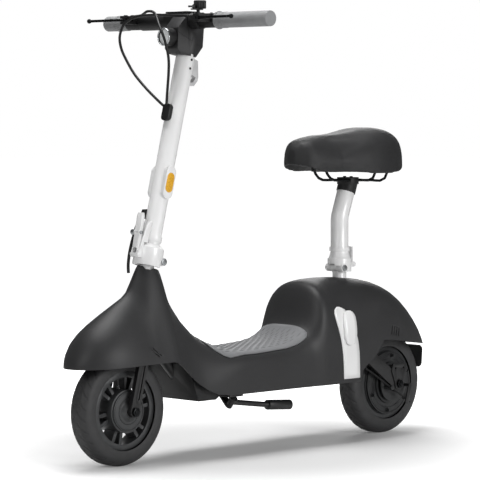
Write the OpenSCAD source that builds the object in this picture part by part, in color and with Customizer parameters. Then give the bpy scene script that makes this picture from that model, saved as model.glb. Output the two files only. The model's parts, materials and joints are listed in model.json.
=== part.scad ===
// Seated electric scooter with a folding stem, a folding seat and a moulded body.
// X runs forward, Y to the rider's left and Z up. The origin is on the ground at
// the middle of the length. Places along X are first given from the rear axle.

/* [Layout] */
// Distance between the two wheel axles
wheelbase = 885; // [865:5:925]
// Tilt of the steering axis back from upright, in degrees
tilt = 14.4; // [14:0.1:14.8]
// Distance of the front axle ahead of the steering axis
fork_offset = 6; // [4:1:8]
// How far the body reaches past the front axle
nose_overhang = 143; // [135:1:150]
// How far the body reaches behind the rear axle
tail_overhang = 137; // [130:1:145]

/* [Wheels] */
// Radius of the tyre at its crown
wheel_r = 127.5; // [124:0.5:131]
// Width of the tyre
tyre_w = 58; // [54:1:62]
// Thickness of the tyre casing
tyre_t = 6; // [5:0.5:8]
// Radius over the rim lips
rim_r = 90; // [88:1:91]
// Width over the rim lips
rim_w = 46; // [42:1:48]
// Radius of both wheel axles
axle_r = 6; // [5:0.5:7]
// Number of double spokes in the front wheel
spokes = 6; // [5:1:7]
// Number of screws in the motor cover
cover_screws = 6; // [4:1:8]

/* [Fork and head] */
// Radius of the steerer tube
steerer_r = 14; // [13:0.5:14.5]
// Outer radius of the head tube
head_r = 20; // [19:0.5:21]
// Distance between the inner faces of the fork legs
fork_gap = 96; // [94:1:100]
// Thickness of a fork leg
leg_t = 12; // [10:1:14]
// Width of a fork leg seen from the side
leg_w = 26; // [24:1:28]

/* [Stem and handlebar] */
// Radius of the stem tube
stem_r = 22; // [21:0.5:23]
// Place of the stem tube's upper end along the steering axis
stem_top = 842; // [820:2:860]
// Distance of the fold pin behind the steering axis
fold_back = 25; // [24:0.5:26]
// Place of the fold pin along the steering axis
fold_s = 354; // [353:0.5:356]
// Radius of the handlebar tube
bar_r = 11; // [10.5:0.1:11.5]
// Length of the handlebar from end to end
bar_len = 550; // [530:5:580]
// Radius of the hand grips
grip_r = 18; // [17:0.5:19]
// Radius of the headlight
lamp_r = 21; // [19:0.5:23]

/* [Body] */
// Wall of the moulded body
wall = 3; // [2.5:0.5:3.5]
// Thickness of the deck mat
mat_t = 4; // [3:0.5:5]
// Half of the width of the deck mat
mat_half = 84; // [78:1:86]
// Sideways distance of the frame rails from the middle
rail_y = 72; // [70:1:74]
// Width of a frame rail
rail_w = 20; // [16:1:22]
// Length of the battery
battery_len = 300; // [240:10:320]

/* [Seat] */
// Radius of the seat post
post_r = 22; // [21:0.5:23]
// Length of the saddle
saddle_len = 343; // [325:1:350]
// Half of the greatest width of the saddle
saddle_half = 103; // [95:1:110]
// Radius of the saddle rails
rail_r = 3.5; // [3:0.25:4]
// Radius of both fold pins
pin_r = 4; // [3.5:0.25:4.5]

/* [Clearances] */
// Gap between parts that move past each other
run = 0.4; // [0.35:0.05:0.6]
// Radial play of a pin or a shaft in its bore
fit = 0.05; // [0.03:0.01:0.08]
// Gap between fixed parts that lie side by side
seam = 0.3; // [0.25:0.05:0.4]

/* [Hidden] */

length = wheelbase + nose_overhang + tail_overhang;
rear_x = tail_overhang - length / 2;
// the body's heights below are drawn for this tyre radius and rise with larger wheels
drawn_r = 127.5;
lift = wheel_r - drawn_r;
head_low = 186;
head_high = 312;
bearing_h = 8;
neck_r = 18;
rim_s = 334.5;
neck_x = wheelbase - fork_offset * cos(tilt) - rim_s * sin(tilt);
bar_s = stem_top + 75.5;
bar_ahead = 15.5;
seat_x = 146;
seat_pin_x = 158;
seat_pin_z = 423;
saddle_rear = -25;
$fn = 48;

// Places along X from the front axle and from the steering head
function fore(d) = wheelbase + d;
function neck(d) = neck_x + d;

// Monotone smooth curve through keys [x, y] with rising x
function part_of(k, x, i = 0) = i >= len(k) - 2 || x < k[i + 1][0] ? i : part_of(k, x, i + 1);
function rise(k, i) = (k[i + 1][1] - k[i][1]) / (k[i + 1][0] - k[i][0]);
function slope(k, i) =
    i == 0 ? rise(k, 0) :
    i == len(k) - 1 ? rise(k, i - 1) :
    rise(k, i - 1) * rise(k, i) <= 0 ? 0 :
    2 * rise(k, i - 1) * rise(k, i) / (rise(k, i - 1) + rise(k, i));
function hermite(k, i, h, t) =
    (2 * t * t * t - 3 * t * t + 1) * k[i][1] + (t * t * t - 2 * t * t + t) * h * slope(k, i)
    + (3 * t * t - 2 * t * t * t) * k[i + 1][1] + (t * t * t - t * t) * h * slope(k, i + 1);
function curve(k, x) =
    x <= k[0][0] ? k[0][1] :
    x >= k[len(k) - 1][0] ? k[len(k) - 1][1] :
    let (i = part_of(k, x), h = k[i + 1][0] - k[i][0]) hermite(k, i, h, (x - k[i][0]) / h);

// Frames of reference
module from_rear() translate([rear_x, 0, 0]) children();
module on_frame() translate([rear_x, 0, lift]) children();
module on_axis(s) {
    from_rear() translate([wheelbase - fork_offset * cos(tilt), 0, wheel_r - fork_offset * sin(tilt)])
        rotate([0, -tilt, 0]) translate([0, 0, s]) children();
}
module on_bar() on_axis(bar_s) translate([bar_ahead, 0, 0]) rotate([0, tilt, 0]) children();
module on_fold() on_axis(fold_s) translate([-fold_back, 0, 0]) children();
module on_seat_pin() on_frame() translate([seat_pin_x, 0, seat_pin_z]) children();
module both_sides() {
    children();
    mirror([0, 1, 0]) children();
}

// Cylinder along Y from y0 to y1, and a round bar between two points
module along_y(y0, y1, r) translate([0, y0, 0]) rotate([-90, 0, 0]) cylinder(h = y1 - y0, r = r);
module rod(a, b, r) {
    d = b - a;
    translate(a) rotate([0, acos(d[2] / norm(d)), atan2(d[1], d[0])]) cylinder(h = norm(d), r = r);
}
// Plate in the XZ plane from y0 to y1
module side_plate(y0, y1) translate([0, y1, 0]) rotate([90, 0, 0]) linear_extrude(y1 - y0) children();
module box(x0, x1, y0, y1, z0, z1) translate([x0, y0, z0]) cube([x1 - x0, y1 - y0, z1 - z0]);
// Rectangle with round corners, and a slot shape between two points
module round_rect(x, y, r) {
    square([x - 2 * r, y], center = true);
    square([x, y - 2 * r], center = true);
    for (i = [-1, 1], j = [-1, 1]) translate([i * (x / 2 - r), j * (y / 2 - r)]) circle(r);
}
module bar_2d(a, b, w) {
    d = b - a;
    translate(a) rotate(atan2(d[1], d[0])) translate([0, -w / 2]) square([norm(d), w]);
    translate(a) circle(d = w);
    translate(b) circle(d = w);
}

// Closed solid through rings of points, all with the same count
module loft(rings) {
    n = len(rings);
    m = len(rings[0]);
    polyhedron([for (r = rings) each r], concat(
        [[for (k = [0 : m - 1]) k]],
        [[for (k = [m - 1 : -1 : 0]) (n - 1) * m + k]],
        [for (i = [0 : n - 2], k = [0 : m - 1]) let (j = (k + 1) % m)
            each [[i * m + k, (i + 1) * m + j, i * m + j], [i * m + k, (i + 1) * m + k, (i + 1) * m + j]]]), 4);
}

// Cable: a tube swept along a smooth route through its points
function unit(v) = v / norm(v);
function tangent(p, i) = unit(p[min(i + 1, len(p) - 1)] - p[max(i - 1, 0)]);
function across(v, t) = unit(v - (v * t) * t);
function between(p, i, t) =
    let (a = p[max(i - 1, 0)], b = p[i], c = p[i + 1], d = p[min(i + 2, len(p) - 1)])
    0.5 * (2 * b + (c - a) * t + (2 * a - 5 * b + 4 * c - d) * t * t + (3 * b - a - 3 * c + d) * t * t * t);
function route(p, step) = concat(
    [for (i = [0 : len(p) - 2]) let (n = max(1, round(norm(p[i + 1] - p[i]) / step)))
        for (k = [0 : n - 1]) between(p, i, k / n)], [p[len(p) - 1]]);
module cable(points, r, sides, first) {
    p = route(points, 5.2 * r);
    n = len(p);
    v = [for (i = 0, a = across(first, tangent(p, 0)); i < n;
        i = i + 1, a = across(a, tangent(p, min(i, n - 1)))) a];
    loft([for (i = [0 : n - 1]) let (t = tangent(p, i), w = cross(t, v[i]))
        [for (k = [0 : sides - 1]) p[i] + r * (cos(360 * k / sides) * v[i] + sin(360 * k / sides) * w)]]);
}

// Keys of the moulded body along X: crown line, lower edge, half width and section shape
top_keys = [[-tail_overhang, 226], [-115, 245], [-90, 269], [-68, 293], [-46, 315], [-20, 338], [8, 359],
    [38, 375], [75, 388], [119, 396], [171, 400], [220, 402], [270, 400], [292, 395], [303, 386],
    [311, 370], [320, 336], [332, 305], [345, 288], [358, 279], [378, 267], [410, 256], [470, 250],
    [fore(-345), 247], [fore(-295), 251], [fore(-260), 263], [fore(-223), 285], [neck(-96), 320],
    [neck(-61), 366], [neck(-39), 405], [neck(-24), 458], [neck(-4), 480], [neck(16), 470],
    [neck(30), 446], [neck(54), 400], [fore(1), 375], [fore(43), 350], [fore(89), 320], [fore(110), 301],
    [fore(128), 275], [fore(139), 250], [fore(nose_overhang), 238]];
edge_keys = [[-tail_overhang, 218], [-36, 230], [98, 246], [117, 223], [130, 208], [177, 178], [186, 150],
    [fore(-283), 148], [fore(-235), 152], [fore(-189), 171], [fore(-147), 204], [fore(-102), 236],
    [fore(75), 232], [fore(nose_overhang), 230]];
half_keys = [[100, 108], [130, 109], [220, 110], [300, 108], [345, 103], [420, 99], [fore(-325), 98],
    [fore(-265), 96], [fore(-205), 91], [fore(-145), 86], [fore(-85), 84], [fore(65), 83]];
power_keys = [[-tail_overhang, 4], [60, 5], [150, 4], [240, 3.3], [300, 5], [340, 4.5], [363, 5], [410, 7],
    [470, 8.5], [fore(-325), 8], [fore(-285), 5], [fore(-245), 2.5], [neck(-96), 1.1], [neck(-36), 0.9],
    [neck(4), 0.9], [neck(44), 1.2], [fore(15), 1.7], [fore(115), 2.2]];
bulge_keys = [[-tail_overhang, 0.5], [60, 0.42], [240, 0.5], [300, 0.4], [340, 0.3], [fore(-325), 0.3],
    [fore(-285), 0.35], [fore(-245), 0.45], [neck(-96), 0.5], [neck(-36), 0.57], [neck(4), 0.62],
    [neck(44), 0.7], [fore(15), 0.6], [fore(115), 0.52]];
spring_keys = [[-tail_overhang, 150], [fore(-285), 148], [fore(-185), 171], [fore(-102), 236],
    [fore(nose_overhang), 230]];
shell_stations = [-tail_overhang, -130, -120, -105, -90, -70, -48, -25, 0, 25, 50, 75, 98, 112, 130, 155,
    178, 186, 210, 225, 240, 255, 270, 285, 295, 303, 309, 315, 321, 328, 335, 342, 350, 362, 372, 381, 390, 420, 450, fore(-365),
    fore(-325), fore(-295), fore(-265), fore(-235), fore(-205), neck(-86), neck(-61), neck(-46), neck(-34),
    neck(-24), neck(-13), neck(-1), neck(12), neck(24), neck(36), neck(49), fore(-20), fore(5), fore(35),
    fore(65), fore(89), fore(107), fore(121), fore(132), fore(139), fore(nose_overhang - 0.5)];
arc_steps = 13;
nose_from = fore(15);
tail_from = 102;

function shell_top(x) = curve(top_keys, x);
function shell_half(x) =
    x > nose_from ? 83 * pow(max(0, 1 - pow((x - nose_from) / (fore(nose_overhang) - nose_from + 1), 2.15)), 0.5) :
    x < tail_from ? 107 * pow(max(0, 1 - pow((tail_from - x) / (tail_from + tail_overhang + 1), 2.6)), 0.5) :
    curve(half_keys, x);
// The moulding's outer surface, straight from one station to the next: its height at a
// sideways distance y, and its sideways reach at a height z
function station(x, i = 0) =
    i >= len(shell_stations) - 2 || x < shell_stations[i + 1] ? i : station(x, i + 1);
function mixed(x, f) =
    let (i = station(x), a = shell_stations[i], b = shell_stations[i + 1], t = (x - a) / (b - a))
    (1 - t) * f(a) + t * f(b);
function skin_z(x, y) = mixed(x, function (s) let (ring = shell_half_ring(s, 0))
    lookup(abs(y), [for (k = [4 : len(ring) - 1]) ring[k]]));
function skin_y(x, z) = mixed(x, function (s) let (ring = shell_half_ring(s, 0))
    lookup(z, [for (p = ring) [p[1], p[0]]]));

// Half section from the lower edge up to the crown, moved in by the wall
function shell_half_ring(x, in) =
    let (t = shell_top(x) - in, b = curve(edge_keys, x), w = max(4, shell_half(x) - in),
        z0 = min(max(curve(spring_keys, x), b - 60), b + 20), p = curve(power_keys, x),
        q = curve(bulge_keys, x), low = max(0, (b - z0) / (t - z0)), next = max(0, (b + 4 - z0) / (t - z0)),
        a0 = asin(min(0.999, pow(low, p / 2))), a1 = asin(min(0.999, pow(next, p / 2))))
    concat([[w * pow(cos(a0), 2 * q), b]], [for (k = [0 : arc_steps]) let (a = a1 + (90 - a1) * k / arc_steps)
        [k == arc_steps ? 0 : w * pow(cos(a), 2 * q), z0 + (t - z0) * pow(sin(a), 2 / p)]]);
function shell_ring(x, in, place) =
    let (s = shell_half_ring(x, in), n = len(s))
    concat([for (p = s) [place, p[0], p[1]]], [for (k = [n - 2 : -1 : 0]) [place, -s[k][0], s[k][1]]]);
function drawn_in(x) =
    x > fore(-5) ? x - wall * (x - fore(-5)) / (nose_overhang + 5) :
    x < 40 ? x + wall * (40 - x) / (tail_overhang + 40) : x;

module shell_surface() {
    m = 2 * (arc_steps + 2) - 1;
    n = len(shell_stations);
    points = concat([for (x = shell_stations) each shell_ring(x, 0, x)],
        [for (x = shell_stations) each shell_ring(x, wall, drawn_in(x))]);
    // corners of the outer skin o and of the inner skin i, counted along and round the body
    o = function (i, j) i * m + j;
    c = function (i, j) (n + i) * m + j;
    polyhedron(points, concat(
        [for (i = [0 : n - 2], j = [0 : m - 2]) each [[o(i + 1, j + 1), o(i, j + 1), o(i, j)],
            [o(i + 1, j), o(i + 1, j + 1), o(i, j)], [c(i, j + 1), c(i + 1, j + 1), c(i, j)],
            [c(i + 1, j + 1), c(i + 1, j), c(i, j)]]],
        [for (i = [0 : n - 2]) each [[c(i + 1, 0), o(i + 1, 0), o(i, 0)], [c(i, 0), c(i + 1, 0), o(i, 0)],
            [o(i + 1, m - 1), c(i + 1, m - 1), o(i, m - 1)], [c(i + 1, m - 1), c(i, m - 1), o(i, m - 1)]]],
        [[for (j = [0 : m - 1]) o(0, j)], [for (j = [m - 1 : -1 : 0]) o(n - 1, j)],
            [for (j = [m - 1 : -1 : 0]) c(0, j)], [for (j = [0 : m - 1]) c(n - 1, j)],
            [c(0, m - 1), c(0, 0), o(0, 0)], [o(0, m - 1), c(0, m - 1), o(0, 0)],
            [c(n - 1, m - 1), o(n - 1, m - 1), o(n - 1, 0)], [c(n - 1, 0), c(n - 1, m - 1), o(n - 1, 0)]]), 4);
}

// Body: one thin moulding from the nose over the deck to the tail
// Narrow air slits in the flanks
slit_w = 2.4;
module slit(p, len, w, turn) translate(p) rotate(turn) square([len, w], center = true);
module body_shell() color("#3a3a3a") {
    difference() {
        on_frame() shell_surface();
        on_axis(rim_s) box(-100, 100, -100, 100, 0, 200);
        on_axis(rim_s - 60) cylinder(h = 70, r = head_r + 2);
        on_frame() translate([seat_x, 0, 380]) cylinder(h = 40, r = 17.25 + 1);
        on_frame() both_sides() side_plate(60, 130) {
            slit([832, 262], 30, slit_w, 36);
            slit([838, 259], 25, slit_w, 36);
            for (k = [0 : 3]) slit([42 + 8.5 * k, 263 + 2 * k], 22, slit_w, 102);
        }
    }
}

// Frame: head tube, down tube, deck rails, seat mast and rear arms
mast_r = 22;
rail_low = 151 + seam;
rail_high = 182;
rail_end = 200 + wall + 1;
rail_front = fore(-268);
down_tube_end = [fore(-194), 0, 184];
arm_y = 57;
arm_t = 9;
module main_frame() color("#2b2b2b") {
    difference() {
        union() {
            on_axis(head_low) cylinder(h = head_high - head_low, r = head_r);
            on_frame() {
                rod([fore(-59), 0, 334], down_tube_end, 16);
                translate(down_tube_end) sphere(16);
                rod(down_tube_end, [fore(-280), 0, 168], 16);
                box(rail_front - 27, rail_front, -rail_y - rail_w / 2, rail_y + rail_w / 2, rail_low, rail_high);
            }
        }
        on_axis(head_low - 1) cylinder(h = head_high - head_low + 2, r = steerer_r + 2);
        on_axis(head_low - bearing_h - 12) cylinder(h = bearing_h + 12, r = head_r + 1);
    }
    on_frame() {
        both_sides() box(rail_end, rail_front, rail_y - rail_w / 2, rail_y + rail_w / 2, rail_low, rail_high);
        box(rail_end, rail_end + 22, -rail_y + rail_w / 2, rail_y - rail_w / 2, rail_low, rail_high);
        difference() {
            union() {
                rod([seat_x, 0, 262], [seat_x, 0, 388], mast_r);
                box(seat_x - 26, 300, -rail_y - rail_w / 2, rail_y + rail_w / 2, 258, 264);
            }
            translate([seat_x, 0, 270]) cylinder(h = 130, r = 17.25 + fit);
        }
        both_sides() {
            box(rail_end, rail_end + 22, rail_y - rail_w / 2, rail_y + rail_w / 2, rail_high, 258);
            difference() {
                union() {
                    side_plate(arm_y, arm_y + arm_t) {
                        bar_2d([0, drawn_r], [100, 200], 34);
                        bar_2d([100, 200], [205, 245], 34);
                        circle_at([0, drawn_r], 20);
                    }
                    side_plate(arm_y + arm_t, arm_y + arm_t + 4) {
                        circle_at([0, drawn_r], 15);
                        translate([0, drawn_r]) polygon([[-28, 34], [-22, 52], [22, 52], [28, 34], [11, -8], [-11, -8]]);
                    }
                }
                translate([0, 0, drawn_r]) along_y(arm_y - 1, arm_y + arm_t + 5, axle_r + fit);
                for (x = [-14, 14]) translate([x, 0, drawn_r + 40]) along_y(arm_y - 1, arm_y + arm_t + 5, 3);
            }
            box(190, rail_end + 22, arm_y, rail_y + rail_w / 2, 228, 258);
        }
    }
}
module circle_at(p, r) translate(p) circle(r);

// Black tray under the deck with the bulkhead behind the front wheel
tray_half = 88;
tray_low = 138;
module tray_profile(in) polygon([[200 + in, 148 + in], [fore(-258), 148 + in], [fore(-243), tray_low + in],
    [fore(-187), tray_low + in], [fore(-154) - in, 226], [fore(-154) - in, 206 + 20 + in],
    [fore(-162) - in, 226 + in], [fore(-186), 206 + in], [200 + in, 206 + in]]);
module belly_tray() color("#1c1c1c") on_frame() difference() {
    union() {
        intersection() {
            side_plate(-tray_half, tray_half) tray_profile(0);
            box(190, fore(-262), -tray_half, tray_half, 100, 240);
        }
        side_plate(-72, 72) tray_profile(0);
    }
    intersection() {
        side_plate(-tray_half + wall, tray_half - wall) tray_profile(wall);
        box(190, fore(-262) - wall, -tray_half, tray_half, 100, 240);
    }
    side_plate(-72 + wall, 72 - wall) tray_profile(wall);
    rod([fore(-59), 0, 334], down_tube_end, 17);
}

module battery_pack() color("#30343a") on_frame() {
    box(260, 260 + battery_len, -58, 58, 151 + seam, 226);
    box(236, 260, -20, 20, 170, 200);
}

module controller_box() color("#9a9da1") on_frame() {
    box(205, 290, -45, 45, 264, 300);
    for (k = [0 : 5]) box(212 + 13 * k, 217 + 13 * k, -45, 45, 300, 308);
}

// Deck mat: follows the body's own surface with a raised rear edge
mat_stations = [344, 350, 362, 372, 381, 390, 420, 450, 485, fore(-365), fore(-325), fore(-310), fore(-295),
    fore(-280), fore(-265), fore(-250), fore(-240), fore(-232)];
mat_across = 16;
mat_lift = seam + 1.1;
function mat_edge(x) =
    let (d = x - fore(-290), e = 352 - x)
    mat_half * (d > 0 ? sqrt(max(0.01, 1 - pow(d / 60, 2))) : e > 0 ? 1 - 0.06 * e * e / 64 : 1);
module deck_mat() color("#9a9a9a") on_frame() {
    loft([for (x = mat_stations) let (w = mat_edge(x)) concat(
        [for (k = [0 : mat_across]) let (y = w * (1 - 2 * k / mat_across)) [x, y, skin_z(x, y) + mat_t]],
        [for (k = [mat_across : -1 : 0]) let (y = w * (1 - 2 * k / mat_across))
            [x, y, skin_z(x, y) + mat_lift]])]);
}

// White trim on each flank with a raised pad, both following the body's surface
strip_front = [[160, 247], [200, 248], [226, 250], [253, 254], [280, 260], [310, 268], [322, 269],
    [330, 263], [335, 252]];
strip_back = [[160, 191], [215, 192], [247, 195], [280, 204], [305, 214], [325, 224], [331, 232], [335, 244]];
strip_levels = [160, 180, 200, 220, 240, 256, 270, 284, 298, 310, 320, 328, 333, 335];
pad_levels = [242, 245, 250, 259, 271, 284, 297, 309, 317, 322, 325];
pad_mid = 283.5;
pad_long = 41.5;
pad_half = 20;
module skin(levels, front, back, in, out, m) loft([for (z = levels) concat(
    [for (k = [0 : m]) let (x = front(z) + (back(z) - front(z)) * k / m) [x, skin_y(x, z) + out, z]],
    [for (k = [m : -1 : 0]) let (x = front(z) + (back(z) - front(z)) * k / m) [x, skin_y(x, z) + in, z]])]);
module side_strips() color("#ececec") on_frame() both_sides()
    skin(strip_levels, function (z) curve(strip_front, z), function (z) curve(strip_back, z), 2 * seam, 2.6, 4);
function pad_reach(z) = pad_half * pow(max(0.05, 1 - pow(abs(z - pad_mid) / (pad_long + 0.1), 4)), 0.5);
module side_pads() color("#f4f4f4") on_frame() both_sides()
    skin(pad_levels, function (z) 223 - (z - pad_mid) * 0.08 + pad_reach(z),
        function (z) 223 - (z - pad_mid) * 0.08 - pad_reach(z), 2.6 + 3 * seam, 9, 4);

module mud_flap() color("#1a1a1a") on_frame() translate([-129, 0, 186]) rotate([0, -4, 0])
    rotate([90, 0, 90]) linear_extrude(2.5) round_rect(64, 56, 12);

module tail_light() color("#b02020") on_frame() translate([-129 - seam, 0, 186]) rotate([0, -4, 0])
    rotate([90, 0, -90]) linear_extrude(3) round_rect(40, 16, 7);

// White socket that carries the seat hinge above the body
module seat_socket() color("#efefef") {
    difference() {
        union() {
            on_frame() translate([seat_x, 0, 300]) cylinder(h = 413 - 300, r = 17.25);
            on_seat_pin() {
                along_y(-9, 9, 9.5);
                box(-9.5, 5, -9, 9, -12, 0);
            }
        }
        on_seat_pin() along_y(-10, 10, pin_r + fit);
    }
}

// The kickstand turns on a slanted pin, so that it swings down and outward
stand_lean = 44;
stand_gap = 9;
module on_stand() on_frame() translate([fore(-288), 76, 130]) rotate([stand_lean, 0, 0]) children();
module kickstand_bracket() color("#1c1c1c") difference() {
    union() {
        on_frame() translate([fore(-288), 0, 0]) box(-22, 22, 56, 94, 143.2, 148 - seam);
        intersection() {
            on_stand() {
                side_plate(stand_gap, stand_gap + 5) bar_2d([0, 0], [0, 40], 20);
                side_plate(-stand_gap - 5, -stand_gap) bar_2d([0, 0], [0, 40], 20);
            }
            on_frame() translate([fore(-288), 0, 0]) box(-22, 22, 30, 120, 100, 145);
        }
    }
    on_stand() along_y(-20, 20, pin_r + fit);
}

module rear_axle() color("#8a8a8a") from_rear() translate([0, 0, wheel_r]) {
    along_y(-78, 78, axle_r);
    both_sides() side_plate(arm_y + arm_t + 4, arm_y + arm_t + 9) circle(11, $fn = 6);
}

module motor_stator() color("#7a5a3a") from_rear() translate([0, 0, wheel_r]) difference() {
    along_y(-16, 16, 58);
    along_y(-17, 17, axle_r);
    for (k = [0 : 17]) rotate([0, 20 * k, 0]) box(40, 54, -17, 17, -4, 4);
}

// Fixed plate of the rear drum brake with its torque arm and the stop of the cable
cam = [-34, -6];
arm_end = [-22, -46];
cable_stop = [32, -7];
module rear_brake_plate() color("#2a2a2a") from_rear() translate([0, 0, wheel_r]) difference() {
    union() {
        along_y(47, 51, 47);
        along_y(51, arm_y - seam, 20);
        translate([cable_stop[0], 0, cable_stop[1]]) along_y(47, 76, 6);
    }
    along_y(46, 80, axle_r);
    translate([cam[0], 0, cam[1]]) along_y(46, 80, 4 + fit);
    translate([cable_stop[0], 71, cable_stop[1]]) rotate([0, 60, 0]) cylinder(h = 60, r = 3 + seam, center = true);
}
// Arm on the brake's cam, pulled by the cable
module rear_brake_arm() color("#3a3a3a") from_rear() translate([0, 0, wheel_r]) {
    translate([cam[0], 0, cam[1]]) along_y(47, 74, 4);
    side_plate(73.6, 77) bar_2d(cam, arm_end, 12);
}

// Brake cable from the body through the stop to the brake arm
rear_cable_points = [[150, 71, 190], [120, 71, 172], [90, 71, 155], [62, 71, 138], [32, 71, 120.5],
    [6, 71, 105.5], [-38, 71, 79.5]];
module rear_cable() color("#161616") on_frame() cable(rear_cable_points, 2.2, 8, [0, 1, 0]);

// Head set: bearings above and below the head tube
module head_bearings() color("#777777") for (s = [head_low - bearing_h, head_high]) on_axis(s) difference() {
    cylinder(h = bearing_h, r = head_r - 1);
    translate([0, 0, -1]) cylinder(h = bearing_h + 2, r = steerer_r + fit);
}

// Fork: crown, steerer and two channel legs with open slots
crown_s = 140;
module fork() color("#2a2a2a") difference() {
    union() {
        on_axis(crown_s) cylinder(h = 360 - crown_s - 20, r = steerer_r);
        on_axis(crown_s + 24) cylinder(h = head_low - bearing_h - crown_s - 24 - seam, r = 18);
        on_axis(crown_s) translate([fork_offset, 0, 0]) linear_extrude(24)
            round_rect(leg_w + 10, fork_gap + 2 * leg_t, 12);
        on_axis(0) both_sides() difference() {
            side_plate(fork_gap / 2, fork_gap / 2 + leg_t)
                bar_2d([fork_offset, 0], [fork_offset, crown_s + 8], leg_w);
            side_plate(fork_gap / 2 + leg_t - 4, fork_gap / 2 + leg_t + 1)
                bar_2d([fork_offset, 32], [fork_offset, crown_s - 16], leg_w - 14);
        }
    }
    on_axis(0) translate([fork_offset, -100, 0]) rotate([-90, 0, 0]) cylinder(h = 200, r = axle_r + fit);
}

// White neck clamped on the steerer, with the fixed knuckle of the fold
module steerer_neck() color("#efefef") difference() {
    union() {
        on_axis(head_high + bearing_h + seam) cylinder(h = fold_s - head_high - bearing_h - 4, r = neck_r);
        on_fold() along_y(-12, 12, 9);
        on_fold() box(0, 12, -12, 12, -9, 2);
        on_axis(fold_s - 14) translate([neck_r - 2, 0, 0]) linear_extrude(8) round_rect(10, 12, 2);
    }
    on_axis(300) cylinder(h = 40, r = steerer_r);
    on_fold() along_y(-13, 13, pin_r + fit);
}

module front_axle() color("#8a8a8a") from_rear() translate([wheelbase, 0, wheel_r]) {
    along_y(-68, 68, axle_r);
    both_sides() side_plate(fork_gap / 2 + leg_t, fork_gap / 2 + leg_t + 6) circle(11, $fn = 6);
}
module front_hub_cap() color("#3a3a3a") from_rear() translate([wheelbase, 0, wheel_r]) difference() {
    union() {
        along_y(34, 38, hub_r - 4);
        translate([0, 38, 0]) rotate([-90, 0, 0]) cylinder(h = 9, r1 = 24, r2 = 13);
    }
    along_y(33, 50, 13);
}

// Tyre section: a C that stands on the rim, with a flat band at the crown
function tyre_line(w, h, base, power) = [for (k = [0 : 24]) let (a = -18 + 216 * k / 24)
    [base + h * pow(abs(sin(a)), 2 / power) * sign(sin(a)), w * pow(abs(cos(a)), 2 / power) * sign(cos(a))]];
module tyre() {
    mid = rim_r + 12;
    h = wheel_r - mid;
    rotate([90, 0, 0]) rotate_extrude($fn = 96) intersection() {
        difference() {
            polygon(tyre_line(tyre_w / 2, h + 1, mid, 2.6));
            polygon(tyre_line(tyre_w / 2 - tyre_t, h + 1 - tyre_t, mid, 2.4));
            translate([0, -tyre_w]) square([rim_r + 0.2, 2 * tyre_w]);
        }
        translate([0, -tyre_w]) square([wheel_r, 2 * tyre_w]);
    }
}
module front_tyre() color("#262626") from_rear() translate([wheelbase, 0, wheel_r]) tyre();
module rear_tyre() color("#262626") from_rear() translate([0, 0, wheel_r]) tyre();

// Rim ring in section, with a lip at both edges
module rim_section() {
    translate([rim_r - 13, -rim_w / 2 + 4]) square([9, rim_w - 8]);
    for (m = [-1, 1]) translate([rim_r - 13, m * (rim_w / 2 - 2.5) - 2.5]) square([13, 5]);
}
hub_r = 50;
module front_rim() color("#3c3c3c") from_rear() translate([wheelbase, 0, wheel_r]) difference() {
    union() {
        rotate([90, 0, 0]) rotate_extrude($fn = 96) rim_section();
        along_y(-34, 34, hub_r);
        for (k = [0 : spokes - 1], m = [-1, 1]) rotate([0, 360 * (k + 0.25) / spokes + 9 * m, 0])
            box(hub_r - 3, rim_r - 10, -18, 18, -4, 4);
    }
    along_y(-40, 40, 13);
}
module front_bearings() color("#999999") from_rear() translate([wheelbase, 0, wheel_r]) for (y = [-34, 26])
    difference() {
        along_y(y, y + 8, 13);
        along_y(y - 1, y + 9, axle_r + fit);
    }

// Hub motor: rim and drum in one, closed by a cover on each side
motor_in = 62;
module rear_rim() color("#3c3c3c") from_rear() translate([0, 0, wheel_r]) difference() {
    union() {
        rotate([90, 0, 0]) rotate_extrude($fn = 96) rim_section();
        along_y(-28, 28, rim_r - 10);
    }
    along_y(-29, 29, motor_in);
}
module motor_covers() color("#333333") from_rear() translate([0, 0, wheel_r]) both_sides() difference() {
    union() {
        along_y(28, 34, rim_r - 11);
        along_y(34, 40, 52);
        along_y(40, 46.6, 26);
        for (k = [0 : cover_screws - 1]) rotate([0, 23 - 360 * k / cover_screws, 0]) translate([69, 0, 0])
            along_y(33, 37, 5);
    }
    along_y(20, 50, 13);
    along_y(20, 30, 40);
}
module rear_bearings() color("#999999") from_rear() translate([0, 0, wheel_r]) both_sides() difference() {
    along_y(34, 42, 13);
    along_y(33, 43, axle_r + fit);
}

// Stem: main tube with the collar that swings on the fold pin
collar_r = 34;
collar_low = 338;
collar_top = 380;
cavity_r = 27;
module stem_tube() color("#efefef") difference() {
    union() {
        on_axis(collar_top) cylinder(h = stem_top - collar_top, r = stem_r);
        on_axis(396) cylinder(h = 13, r = stem_r + 2.5);
        on_axis(collar_top) cylinder(h = 8, r1 = collar_r, r2 = stem_r + 3);
        on_axis(collar_low) cylinder(h = collar_top - collar_low, r = collar_r);
        on_fold() along_y(-28, 28, 10);
        on_fold() box(0, 14, -28, 28, -8, 10);
    }
    on_axis(collar_low - 1) cylinder(h = fold_s - collar_low + 2, r = cavity_r);
    on_axis(400) cylinder(h = stem_top - 399, r = stem_r - 2.5);
    // behind the neck only the hinge barrel stays below the pin
    on_fold() difference() {
        box(-40, 10, -50, 50, -40, 0);
        along_y(-28, 28, 10);
    }
    on_fold() box(-40, 30, -12 - run, 12 + run, -40, 9 + run);
    on_fold() along_y(-30, 30, pin_r + fit);
    on_fold() both_sides() along_y(28, 40, 8.6);
}

module fold_pin() color("#777777") on_fold() {
    along_y(-31, 31, pin_r);
    along_y(28 + 0.1, 31, 8);
    along_y(-31, -28 - 0.1, 8);
}

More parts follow.
